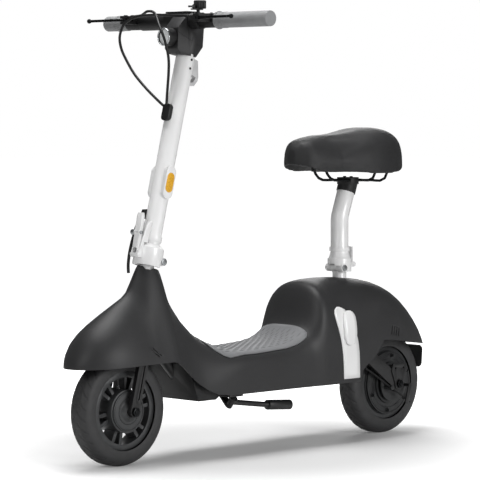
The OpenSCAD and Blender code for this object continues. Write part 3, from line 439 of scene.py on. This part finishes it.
def faces_where(obj, test):
    """Select the faces that pass a test, in edit mode."""
    bpy.ops.mesh.select_all(action="DESELECT")
    mesh = bmesh.from_edit_mesh(obj.data)
    mesh.faces.ensure_lookup_table()
    count = 0
    for face in mesh.faces:
        if test(face):
            face.select_set(True)
            count += 1
    bmesh.update_edit_mesh(obj.data)
    return count


def merged_copy(name, width=0.0):
    """Copy of a CAD node with welded corners, smooth shading and rounded edges."""
    source = frame["nodes"][name]
    pick(source)
    bpy.ops.object.duplicate()
    obj = bpy.context.object
    for key in [key for key in obj.keys() if key.startswith("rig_")]:
        del obj[key]
    obj.parent = None
    bpy.ops.object.mode_set(mode="EDIT")
    bpy.ops.mesh.select_all(action="SELECT")
    bpy.ops.mesh.remove_doubles(threshold=0.000004)
    if width:
        bpy.ops.mesh.dissolve_limited(angle_limit=math.radians(0.6))
    bpy.ops.object.mode_set(mode="OBJECT")
    if width:
        bevel(obj, width)
    return obj


BODY_OF = {n: body for body, nodes in frame["record"]["behaviour"]["bodies"].items() for n in nodes}


def dressed(name, finish_name, smooth=35, width=0.0):
    """Replace a CAD node by its welded and rounded copy."""
    obj = merged_copy(name, width)
    settle(obj, name + "_dressed", finish_name, BODY_OF[name], smooth)
    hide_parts(name)
    return obj


def bolt(place, axis, radius, height, socket=True):
    """Socket head of a bolt, standing on a place along an axis."""
    axis = Vector(axis).normalized()
    bpy.ops.mesh.primitive_cylinder_add(vertices=24, radius=radius, depth=height,
                                        location=Vector(place) + axis * height / 2, rotation=turned(axis))
    obj = bpy.context.object
    bpy.ops.object.transform_apply(location=True, rotation=True, scale=True)
    top = Vector(place) + axis * height
    bpy.ops.object.mode_set(mode="EDIT")
    faces_where(obj, lambda f: (f.calc_center_median() - top).length < radius * 0.3)
    bpy.ops.mesh.inset(thickness=radius * 0.12)
    if socket:
        bpy.ops.mesh.inset(thickness=radius * 0.36)
        bpy.ops.mesh.extrude_region_move(TRANSFORM_OT_translate={"value": -axis * height * 0.6})
    bpy.ops.object.mode_set(mode="OBJECT")
    bevel(obj, radius * 0.08, 1, 40)
    return obj


def join(objects):
    """Join pieces into the first one."""
    clear_selection()
    for obj in objects:
        obj.select_set(True)
    bpy.context.view_layer.objects.active = objects[0]
    if len(objects) > 1:
        bpy.ops.object.join()
    return objects[0]


def smooth_route(points, steps=6):
    """Points of one smooth line through the given ones, in metres."""
    line = []
    for i in range(len(points) - 1):
        a, b, c, d = (at(*points[min(max(k, 0), len(points) - 1)]) for k in (i - 1, i, i + 1, i + 2))
        for k in range(steps):
            t = k / steps
            line.append(0.5 * (2 * b + (c - a) * t + (2 * a - 5 * b + 4 * c - d) * t * t
                               + (3 * b - a - 3 * c + d) * t ** 3))
    return line + [at(*points[-1])]


def tube(line, radius):
    """Round cable of one open spline along a line of points."""
    clear_selection()
    bpy.ops.curve.primitive_nurbs_path_add()
    obj = bpy.context.object
    obj.location = (0, 0, 0)
    obj.data.splines.clear()
    spline = obj.data.splines.new("POLY")
    spline.points.add(len(line) - 1)
    for point, place in zip(spline.points, line):
        point.co = (*place, 1)
    obj.data.bevel_depth = radius
    obj.data.bevel_resolution = 3
    obj.data.use_fill_caps = True
    return obj


def cable(name, points, radius, body, replaced):
    """Free cable along its route, riding on its body."""
    line = smooth_route(points)
    obj = tube(line, radius)
    obj.name = name
    obj.data.materials.append(FINISHES["cable"])
    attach(obj, body)
    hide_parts(replaced)
    return obj


def bent_cable(name, line, radius, replaced):
    """Length of cable between two bodies, as one smooth tube along a line of points."""
    obj = tube(line, radius)
    pick(obj)
    bpy.ops.object.convert(target="MESH")
    obj = bpy.context.object
    obj.name = name
    bpy.ops.object.shade_smooth()
    obj.data.materials.clear()
    obj.data.materials.append(FINISHES["cable"])
    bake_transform(obj)
    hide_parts(replaced)
    return obj


def ring(place, axis, radius, thickness, steps=48):
    """Plain round ring about an axis."""
    bpy.ops.mesh.primitive_torus_add(location=place, rotation=turned(axis), major_radius=radius,
                                     minor_radius=thickness, major_segments=steps, minor_segments=8)
    return bpy.context.object


def round_bar(start, end, radius, steps=24, rounding=0.0):
    """Round bar between two points."""
    start, end = Vector(start), Vector(end)
    bpy.ops.mesh.primitive_cylinder_add(vertices=steps, radius=radius, depth=(end - start).length,
                                        location=(start + end) / 2, rotation=turned(end - start))
    obj = bpy.context.object
    bpy.ops.object.transform_apply(location=True, rotation=True, scale=True)
    if rounding:
        bevel(obj, rounding, 2, 40)
    return obj


def capsule(place, width, length, depth, rounding):
    """Plate with round ends: flat along Y, long along the steering axis."""
    bpy.ops.mesh.primitive_cylinder_add(vertices=48, radius=width / 2, depth=depth, rotation=(math.radians(90), 0, 0))
    obj = bpy.context.object
    bpy.ops.object.transform_apply(location=False, rotation=True, scale=True)
    bpy.ops.object.mode_set(mode="EDIT")
    mesh = bmesh.from_edit_mesh(obj.data)
    for vertex in mesh.verts:
        shift = (length - width) / 2 * (1 if vertex.co.z > 0 else -1)
        vertex.co = vertex.co.x * AHEAD + vertex.co.y * SIDE + (vertex.co.z + shift) * AXIS
    bmesh.update_edit_mesh(obj.data)
    bpy.ops.object.mode_set(mode="OBJECT")
    obj.location = place
    bpy.ops.object.transform_apply(location=True)
    bevel(obj, rounding, 3, 50)
    return obj


# Stage


class SCOOTER_OT_stage(bpy.types.Operator):
    """Add the floor, the studio light and the camera"""

    bl_idname = "scooter.stage"
    bl_label = "Stage"

    def execute(self, context):
        scene = context.scene
        scene.view_settings.view_transform = "Standard"
        world = bpy.data.worlds.new("studio_sky")
        scene.world = world
        world.use_nodes = True
        tree = world.node_tree
        background = tree.nodes["Background"]
        rays = node(tree, "ShaderNodeLightPath")
        seen = node(tree, "ShaderNodeMath", {"operation": "MAXIMUM"},
                    {0: (rays, "Is Camera Ray"), 1: (rays, "Is Transmission Ray")})
        level = node(tree, "ShaderNodeMapRange", {"To Min": 0.16, "To Max": 1.0}, {"Value": (seen, "Value")})
        background.inputs["Color"].default_value = (1, 1, 1, 1)
        tree.links.new(level.outputs["Result"], background.inputs["Strength"])

        clear_selection()
        bpy.ops.mesh.primitive_plane_add(size=60, location=(0, 0, 0))
        floor = bpy.context.object
        floor.name = "studio_floor"
        # White seamless paper: it glows more and more away from the scooter, so that only the shadow shows
        material, tree, shader = finish("studio_paper", base_color="#dedede", roughness=1.0)
        rays = node(tree, "ShaderNodeLightPath")
        seen = node(tree, "ShaderNodeMath", {"operation": "MAXIMUM"},
                    {0: (rays, "Is Camera Ray"), 1: (rays, "Is Transmission Ray")})
        place = node(tree, "ShaderNodeTexCoord")
        reach = node(tree, "ShaderNodeVectorMath", {"operation": "LENGTH"}, {0: (place, "Object")})
        rise = node(tree, "ShaderNodeMapRange", {"From Min": 0.3, "From Max": 1.1, "To Min": 0.02, "To Max": 0.95,
                                                 "interpolation_type": "SMOOTHSTEP"}, {"Value": (reach, "Value")})
        lift = node(tree, "ShaderNodeMath", {"operation": "MULTIPLY"}, {0: (seen, "Value"), 1: (rise, "Result")})
        shader.inputs["Emission Color"].default_value = (1, 1, 1, 1)
        tree.links.new(lift.outputs["Value"], shader.inputs["Emission Strength"])
        floor.data.materials.append(material)

        for name, place, aim, size, power in (
            ("overhead_softbox", (0.1, -0.2, 3.0), (0, 0, 0.4), 1.6, 72),
            ("front_softbox", (3.6, 0.4, 1.9), (0.1, 0, 0.5), 1.2, 27),
            ("side_softbox", (-0.4, 3.6, 1.3), (-0.1, 0, 0.4), 1.2, 64),
            ("rear_softbox", (-2.6, -2.2, 2.1), (0, 0, 0.5), 1.6, 34),
        ):
            bpy.ops.object.light_add(type="AREA", location=place)
            lamp = bpy.context.object
            lamp.name = name
            lamp.data.shape = "SQUARE"
            lamp.data.size = size
            lamp.data.energy = power
            lamp.rotation_euler = (Vector(aim) - Vector(place)).to_track_quat("-Z", "Y").to_euler()

        place = Vector((4.7864 - 0.4455, 4.3528, 0.8077))
        aim = Vector((0.4925 - 0.4455, 0.0, 0.5029))
        bpy.ops.object.camera_add(location=place)
        camera = bpy.context.object
        camera.name = "studio_camera"
        camera.rotation_euler = (aim - place).to_track_quat("-Z", "Y").to_euler()
        camera.data.sensor_width = 36
        camera.data.lens = 192.56
        camera.data.clip_end = 60
        scene.camera = camera
        return {"FINISHED"}


# Pieces


class SCOOTER_OT_cables(bpy.types.Operator):
    """Lay the brake cables and the cable from the stem into the body"""

    bl_idname = "scooter.cables"
    bl_label = "Cables"

    def execute(self, context):
        cable("left_brake_cable", LEFT_CABLE, 0.0032, "stem", "upper_cables")
        cable("right_brake_cable", RIGHT_CABLE, 0.0032, "stem", "upper_cables")
        cable("rear_brake_cable", REAR_CABLE, 0.0022, "body", "rear_cable")
        line = smooth_route(LOWER_CABLE)
        middle = len(line) // 2
        bent_cable("lower_cable_stem_end", line[: middle + 1], 0.0036, "lower_cable")
        bent_cable("lower_cable_body_end", line[middle:], 0.0036, "lower_cable")
        sleeves = []
        for points in (LEFT_CABLE, RIGHT_CABLE):
            first, second = at(*points[0]), at(*points[1])
            way = (second - first).normalized()
            sleeves.append(round_bar(first - 0.001 * way, first + 0.013 * way, 0.0046, 20, 0.0006))
            sleeves.append(ring(first + 0.004 * way, way, 0.0046, 0.0009, 24))
            sleeves.append(ring(first + 0.008 * way, way, 0.0046, 0.0009, 24))
        settle(join(sleeves), "cable_adjusters", "black", "stem")
        return {"FINISHED"}


# Ribs of the deck mat, in metres: space between rows, and half length, half width and height
RIB_ROW = 0.0085
RIB_SIZE = (0.0088, 0.0011, 0.0010)


class SCOOTER_OT_body(bpy.types.Operator):
    """Dress the moulded body, its tray, mat and trim"""

    bl_idname = "scooter.body"
    bl_label = "Body"

    def execute(self, context):
        dressed("body_shell", "body", 40)
        dressed("belly_tray", "black", 35, 0.0008)
        mat = dressed("deck_mat", "mat", 45)
        dressed("side_strips", "trim", 45)
        dressed("side_pads", "trim", 50)
        dressed("mud_flap", "flap", 35, 0.0006)
        dressed("tail_light", "red", 35, 0.0006)
        self.ribs(mat, context.scene.scooter_sizes.rib_pitch)
        return {"FINISHED"}

    def ribs(self, mat, pitch):
        """Rows of low short ribs along the mat, following its surface"""
        low, high = (Vector(corner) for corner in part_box("deck_mat"))
        rows = int((high.y - low.y) / 2 / RIB_ROW)
        ribs = []
        for row in range(-rows, rows + 1):
            x = low.x + (0.25 if row % 2 else 0.75) * pitch
            while x < high.x:
                hit, place, normal, _ = mat.ray_cast(Vector((x, row * RIB_ROW, high.z + 0.1)), Vector((0, 0, -1)))
                if hit and normal.z > 0.6 and self.inside(mat, x, row * RIB_ROW, high.z):
                    bpy.ops.mesh.primitive_uv_sphere_add(segments=10, ring_count=6, radius=1, location=place)
                    rib = bpy.context.object
                    rib.rotation_euler = (0, math.atan2(normal.x, normal.z), 0)
                    rib.scale = RIB_SIZE
                    ribs.append(rib)
                x += pitch
        settle(join(ribs), "mat_ribs", "rib", "body", 60)

    def inside(self, mat, x, y, z):
        """True if the mat reaches far enough round a point for a whole rib"""
        for dx, dy in ((0.014, 0), (-0.014, 0), (0, 0.009), (0, -0.009)):
            hit, place, normal, _ = mat.ray_cast(Vector((x + dx, y + dy, z + 0.1)), Vector((0, 0, -1)))
            if not hit or normal.z < 0.5:
                return False
        return True


class SCOOTER_OT_frame(bpy.types.Operator):
    """Dress the frame, the fork, the kickstand and what is inside"""

    bl_idname = "scooter.frame"
    bl_label = "Frame"

    def execute(self, context):
        for name, finish_name, width in (
            ("main_frame", "frame", 0.0006), ("fork", "frame", 0.0012), ("kickstand_bracket", "frame", 0.0006),
            ("kickstand_leg", "frame", 0.0006), ("seat_socket", "white", 0.0005), ("steerer_neck", "white", 0.0005),
            ("head_bearings", "steel", 0.0), ("battery_pack", "battery", 0.001),
            ("controller_box", "raw_alloy", 0.0005),
        ):
            dressed(name, finish_name, 35, width)
        return {"FINISHED"}


TYRE_STEPS = 720


def tyre_point(angle, width, height, base, power):
    """Radius and sideways place of a tyre's section, as in the frame's source, in millimetres."""
    s, c = math.sin(math.radians(angle)), math.cos(math.radians(angle))
    return (base + height * math.copysign(abs(s) ** (2 / power), s), width * math.copysign(abs(c) ** (2 / power), c))


def tyre_section():
    """Closed section of the tyre: outer line, then the inner line back."""
    outer = [tyre_point(-18 + 216 * k / 44, 29, 26.5, 102, 2.6) for k in range(45)]
    inner = [tyre_point(198 - 216 * k / 16, 23, 20.5, 102, 2.4) for k in range(17)]
    outer = [(min(r, 127.5), y) for r, y in outer]
    inner = [(max(r, 91.6), y) for r, y in inner]
    return outer + inner, len(outer)


def groove(angle, across, count):
    """Depth of the tread, from 0 to 1, at a place round the tyre and across it."""
    side = 1 if across > 0 else -1
    reach = min(1.0, max(0.0, (abs(across) - 0.10) / 0.06)) * min(1.0, max(0.0, (0.90 - abs(across)) / 0.08))
    if reach == 0:
        return 0.0
    step = 2 * math.pi / count
    sweep = 0.30 * abs(across) ** 1.7 + 0.06 * math.sin(3 * abs(across))
    off = (angle + sweep + (0.5 * step if side > 0 else 0)) % step
    off = min(off, step - off) * 0.1275
    return reach * math.exp(-((off / 0.0017) ** 2))


class SCOOTER_OT_tyres(bpy.types.Operator):
    """Model both tyres with their grooved tread"""

    bl_idname = "scooter.tyres"
    bl_label = "Tyres"

    def execute(self, context):
        sizes = context.scene.scooter_sizes
        for name, x, body in (("front_tyre", FRONT_X, "front_wheel"), ("rear_tyre", REAR_X, "rear_wheel")):
            obj = self.tyre(Vector((x, 0, WHEEL_R)), sizes)
            settle(obj, name + "_treaded", "tyre", body, 50)
            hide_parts(name)
        return {"FINISHED"}

    def tyre(self, centre, sizes):
        section, outer = tyre_section()
        bpy.ops.mesh.primitive_grid_add(x_subdivisions=len(section), y_subdivisions=TYRE_STEPS, size=2)
        obj = bpy.context.object
        bpy.ops.object.mode_set(mode="EDIT")
        mesh = bmesh.from_edit_mesh(obj.data)
        for vertex in mesh.verts:
            i = round((vertex.co.x + 1) / 2 * len(section)) % len(section)
            turn = 2 * math.pi * round((vertex.co.y + 1) / 2 * TYRE_STEPS) / TYRE_STEPS
            r, y = section[i]
            if i < outer:
                r -= groove(turn, y / 29, sizes.groove_count) * sizes.groove_depth / MM * min(1, max(0, (r - 104) / 12))
            vertex.co = centre + Vector((r * math.cos(turn), y, r * math.sin(turn))) * MM
        bmesh.update_edit_mesh(obj.data)
        bpy.ops.mesh.select_all(action="SELECT")
        bpy.ops.mesh.remove_doubles(threshold=0.00001)
        bpy.ops.mesh.normals_make_consistent(inside=False)
        bpy.ops.object.mode_set(mode="OBJECT")
        return obj


class SCOOTER_OT_wheels(bpy.types.Operator):
    """Dress both wheels, their axles and the rear brake"""

    bl_idname = "scooter.wheels"
    bl_label = "Wheels"

    def execute(self, context):
        for name, finish_name, width in (
            ("front_rim", "rim", 0.0012), ("rear_rim", "rim", 0.0008), ("front_hub_cap", "rim", 0.0006),
            ("motor_covers", "alloy", 0.0005), ("front_axle", "dark_steel", 0.0004), ("rear_axle", "dark_steel", 0.0004),
            ("front_bearings", "steel", 0.0), ("rear_bearings", "steel", 0.0), ("motor_stator", "core", 0.0),
            ("rear_brake_plate", "alloy", 0.0005), ("rear_brake_arm", "frame", 0.0005),
        ):
            dressed(name, finish_name, 35, width)
        rear, front = Vector((REAR_X, 0, WHEEL_R)), Vector((FRONT_X, 0, WHEEL_R))
        heads = []
        for side in (1, -1):
            for k in range(6):
                turn = math.radians(-23 + 60 * k)
                spoke = Vector((math.cos(turn), 0, math.sin(turn)))
                heads.append(bolt(rear + 0.069 * spoke + side * 0.0369 * SIDE, side * SIDE, 0.0042, 0.0024))
        settle(join(heads), "cover_screws", "dark_steel", "rear_wheel")
        rings = [ring(rear + side * 0.0341 * SIDE, SIDE, 0.0745, 0.0009, 96) for side in (1, -1)]
        rings += [ring(rear + side * 0.0341 * SIDE, SIDE, 0.0615, 0.0007, 96) for side in (1, -1)]
        settle(join(rings), "cover_ribs", "alloy", "rear_wheel", 60)
        rings = [ring(front + 0.0381 * SIDE, SIDE, r, 0.0008, 96) for r in (0.030, 0.043)]
        rings.append(ring(front - 0.0341 * SIDE, SIDE, 0.046, 0.0008, 96))
        settle(join(rings), "hub_ribs", "alloy", "front_wheel", 60)
        way = Vector((math.cos(math.radians(80)), 0, math.sin(math.radians(80))))
        valve = [round_bar(front + 0.048 * way + 0.012 * SIDE, front + 0.078 * way + 0.012 * SIDE, 0.0032, 16, 0.0005)]
        for r in (0.052, 0.055, 0.058):
            valve.append(ring(front + r * way + 0.012 * SIDE, way, 0.0034, 0.0006, 20))
        settle(join(valve[:1]), "valve_stem", "flap", "front_wheel")
        settle(join(valve[1:]), "valve_cap_ribs", "steel", "front_wheel", 60)
        return {"FINISHED"}


class SCOOTER_OT_stem(bpy.types.Operator):
    """Dress the stem, its fold, its latch and its fittings"""

    bl_idname = "scooter.stem"
    bl_label = "Stem"

    def execute(self, context):
        for name, finish_name, width in (
            ("stem_tube", "white", 0.0006), ("fold_pin", "steel", 0.0004), ("latch_bracket", "white", 0.0005),
            ("latch_lever", "white", 0.0005), ("lock_button", "steel", 0.0005), ("reflectors", "white", 0.0015),
            ("cable_grommets", "black", 0.0008), ("bag_hook", "hook", 0.001),
            ("headlight_body", "black", 0.0006), ("headlight_lens", "clear", 0.0005),
        ):
            dressed(name, finish_name, 35, width)
        lenses = [capsule(on_axis(0, side * 0.0268, 0.536), 0.0225, 0.0465, 0.0026, 0.0009) for side in (1, -1)]
        settle(join(lenses), "reflector_lenses", "amber", "stem")
        self.block()
        screws = []
        for along in (0.8291, 0.8084):
            for side in (1, -1):
                out = (SIDE * side).normalized()
                screws.append(bolt(on_axis(-0.0012, 0, along) + 0.0216 * out, out, 0.0028, 0.0016))
        for along in (0.7155, 0.6785):
            screws.append(bolt(on_axis(0.0298, 0, along), AHEAD, 0.0026, 0.0012))
        settle(join(screws), "stem_screws", "dark_steel", "stem")
        bezel = [ring(on_bar(74, 0, -37.5), (1, 0, 0), 0.0194, 0.0015, 64)]
        bezel.append(ring(on_bar(70.2, 0, -37.5), (1, 0, 0), 0.0135, 0.0005, 64))
        bezel.append(ring(on_bar(70.2, 0, -37.5), (1, 0, 0), 0.0075, 0.0005, 48))
        settle(join(bezel[:1]), "headlight_bezel", "chrome", "stem", 60)
        settle(join(bezel[1:]), "headlight_rings", "clear", "stem", 60)
        return {"FINISHED"}

    def block(self):
        """Neck block with the parting line of its two halves"""
        dressed("neck_block", "block", 35, 0.0008)
        start, end = on_bar(64, 0, -18.5), on_bar(-19, 0, -57.5)
        seams = []
        for side in (1, -1):
            bpy.ops.mesh.primitive_cube_add(size=1, location=(start + end) / 2 + side * 0.0221 * SIDE)
            seam = bpy.context.object
            seam.scale = ((end - start).length, 0.0006, 0.0011)
            seam.rotation_euler = (0, -math.atan2(start.z - end.z, start.x - end.x), 0)
            seams.append(seam)
        settle(join(seams), "neck_block_seam", "black", "stem", 35)


class SCOOTER_OT_bar(bpy.types.Operator):
    """Dress the handlebar, its grips, levers and bell"""

    bl_idname = "scooter.bar"
    bl_label = "Handlebar"

    def execute(self, context):
        made = {}
        for name, finish_name, width in (
            ("bar_tube", "alloy", 0.0), ("bar_housing", "black", 0.0015), ("display", "glass", 0.0008),
            ("left_grip", "grip", 0.003), ("throttle_grip", "grip", 0.003), ("lever_perches", "black", 0.001),
            ("brake_lever_left", "dark_steel", 0.0019), ("brake_lever_right", "dark_steel", 0.0019),
            ("bell_base", "black", 0.0015), ("bell_striker", "black", 0.0005),
        ):
            made[name] = dressed(name, finish_name, 35, width)
        self.bell(context.scene.scooter_sizes.bell_ribs)
        for name, side in (("left", 1), ("right", -1)):
            tip = self.tip(made["brake_lever_" + name], side)
            bpy.ops.mesh.primitive_uv_sphere_add(segments=24, ring_count=16, radius=0.0056, location=tip)
            ball = bpy.context.object
            bpy.ops.object.transform_apply(location=True)
            settle(ball, name + "_lever_ball", "dark_steel", name + "_lever", 60)
        screws = []
        for y, side in ((88, 1), (-160, -1)):
            screws.append(bolt(on_bar(47, y, 15), (0, 0, 1), 0.0048, 0.0022))
            screws.append(bolt(on_bar(-2, y + 8 * side, 16.2), (0, 0, 1), 0.003, 0.0022))
            screws.append(bolt(on_bar(-2, y - 8 * side, 16.2), (0, 0, 1), 0.003, 0.0022))
        settle(join(screws), "perch_screws", "dark_steel", "stem")
        rings = []
        for start, step in ((118, 5), (-221, -5)):
            for k in range(4):
                rings.append(ring(on_bar(0, start + step * k, 0), SIDE, 0.0180, 0.0008, 64))
        settle(join(rings[:4]), "left_grip_rings", "grip", "stem", 60)
        settle(join(rings[4:]), "throttle_grip_rings", "grip", "throttle", 60)
        return {"FINISHED"}

    def tip(self, lever, side):
        """Middle of a lever's outer end"""
        end = max(side * v.co.y for v in lever.data.vertices)
        near = [v.co for v in lever.data.vertices if side * v.co.y > end - 0.006]
        return sum(near, Vector()) / len(near)

    def bell(self, ribs):
        """Ribbed cap round the bell's drum"""
        bpy.ops.mesh.primitive_cylinder_add(vertices=ribs * 6, radius=0.0138, depth=0.0185,
                                            location=on_bar(2, 46, 37.4))
        obj = bpy.context.object
        bpy.ops.object.transform_apply(location=True)
        centre = on_bar(2, 46, 37.4)
        bpy.ops.object.mode_set(mode="EDIT")
        mesh = bmesh.from_edit_mesh(obj.data)
        for vertex in mesh.verts:
            off = vertex.co - centre
            turn = math.atan2(off.y, off.x)
            grow = 1 + 0.045 * max(-0.4, math.cos(ribs * turn))
            vertex.co = centre + Vector((off.x * grow, off.y * grow, off.z))
        bmesh.update_edit_mesh(obj.data)
        bpy.ops.object.mode_set(mode="OBJECT")
        bevel(obj, 0.0012, 2, 50)
        settle(obj, "bell_cap", "black", "stem", 40)


class SCOOTER_OT_seat(bpy.types.Operator):
    """Dress the seat post and pad the saddle"""

    bl_idname = "scooter.seat"
    bl_label = "Seat"

    def execute(self, context):
        for name, finish_name, width in (
            ("seat_post", "white", 0.0008), ("seat_pin", "steel", 0.0004), ("seat_latch", "white", 0.0005),
            ("saddle_clamp", "black", 0.0012), ("saddle_rails", "dark_steel", 0.0), ("saddle_base", "black", 0.0),
        ):
            dressed(name, finish_name, 35, width)
        obj = self.saddle(context.scene.scooter_sizes.saddle_swell)
        settle(obj, "saddle_padded", "saddle", "seat", 60)
        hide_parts("saddle")
        sockets = [round_bar(at(x, side * 20, 661), at(x, side * 20, 684), 0.0056, 20, 0.0012)
                   for x in (0.5, 218.5) for side in (1, -1)]
        settle(join(sockets), "rail_sockets", "black", "seat")
        screws = [bolt(at(116, side * 11, 646), (0, 0, 1), 0.004, 0.003) for side in (1, -1)]
        settle(join(screws), "seat_screws", "dark_steel", "seat")
        return {"FINISHED"}

    def saddle(self, swell):
        """Padded saddle: the cover is blown up a little from a smaller shape, held along its lower edge"""
        obj = merged_copy("saddle")
        bpy.ops.object.mode_set(mode="EDIT")
        bpy.ops.mesh.select_all(action="SELECT")
        bpy.ops.transform.shrink_fatten(value=-0.0012)
        bpy.ops.object.mode_set(mode="OBJECT")
        self.shape(obj)
        obj.data.remesh_voxel_size = 0.004
        obj.data.remesh_voxel_adaptivity = 0
        pick(obj)
        bpy.ops.object.voxel_remesh()
        rest = [v.co.copy() for v in obj.data.vertices]
        held = obj.vertex_groups.new(name="held")
        under = [v.index for v in obj.data.vertices if v.normal.z < -0.35]
        held.add(under, 1.0, "REPLACE")
        cloth = obj.modifiers.new("padding", "CLOTH")
        cloth.settings.use_pressure = True
        cloth.settings.uniform_pressure_force = 4
        cloth.settings.effector_weights.gravity = 0
        cloth.settings.vertex_group_mass = "held"
        cloth.point_cache.frame_start = 1
        cloth.point_cache.frame_end = 20
        scene = bpy.context.scene
        for frame_number in range(1, 21):
            scene.frame_set(frame_number)
        apply_modifiers(obj)
        scene.frame_set(1)
        for vertex, start in zip(obj.data.vertices, rest):
            move = vertex.co - start
            if move.length > swell:
                vertex.co = start + move.normalized() * swell
        for name, kind, settings in (("even", "SMOOTH", {"factor": 0.5, "iterations": 12}),
                                     ("fine", "SUBSURF", {"levels": 1, "render_levels": 1})):
            modifier = obj.modifiers.new(name, kind)
            for key, value in settings.items():
                setattr(modifier, key, value)
        apply_modifiers(obj)
        return obj

    def shape(self, obj):
        """Dip the middle of the saddle's top, raise its tail and let its nose hang lower"""
        low, high = (Vector(corner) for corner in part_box("saddle"))
        for vertex in obj.data.vertices:
            along = (vertex.co.x - low.x) / (high.x - low.x)
            up = (vertex.co.z - low.z) / (high.z - low.z)
            nose = min(1.0, max(0.0, (along - 0.55) / 0.35))
            nose = nose * nose * (3 - 2 * nose)
            tail = math.exp(-(((along - 0.2) / 0.16) ** 2))
            dip = math.exp(-(((along - 0.56) / 0.17) ** 2))
            vertex.co.z += (0.005 * tail - 0.008 * dip) * up * up - 0.024 * nose * (1 - up)


class SCOOTER_PT_panel(bpy.types.Panel):
    """Lists the pieces of the scooter"""

    bl_idname = "SCOOTER_PT_panel"
    bl_label = "Seated Electric Scooter"
    bl_space_type = "VIEW_3D"
    bl_region_type = "UI"
    bl_category = "Scooter"

    def draw(self, context):
        for group in (context.scene.scooter_sizes, context.scene.scooter_colours):
            for name in group.__annotations__:
                self.layout.prop(group, name)
        for piece in PIECES:
            self.layout.operator(piece.bl_idname)


PIECES = (
    SCOOTER_OT_stage,
    SCOOTER_OT_cables,
    SCOOTER_OT_body,
    SCOOTER_OT_frame,
    SCOOTER_OT_tyres,
    SCOOTER_OT_wheels,
    SCOOTER_OT_stem,
    SCOOTER_OT_bar,
    SCOOTER_OT_seat,
)
CLASSES = (ScooterSizes, ScooterColours) + PIECES + (SCOOTER_PT_panel,)


def register():
    for cls in CLASSES:
        bpy.utils.register_class(cls)
    bpy.types.Scene.scooter_sizes = PointerProperty(type=ScooterSizes)
    bpy.types.Scene.scooter_colours = PointerProperty(type=ScooterColours)


def unregister():
    del bpy.types.Scene.scooter_colours
    del bpy.types.Scene.scooter_sizes
    for cls in reversed(CLASSES):
        bpy.utils.unregister_class(cls)


def main():
    register()
    make_finishes(bpy.context.scene.scooter_colours)
    for piece in PIECES:
        group, name = piece.bl_idname.split(".")
        getattr(getattr(bpy.ops, group), name)()


if __name__ == "__main__":
    main()
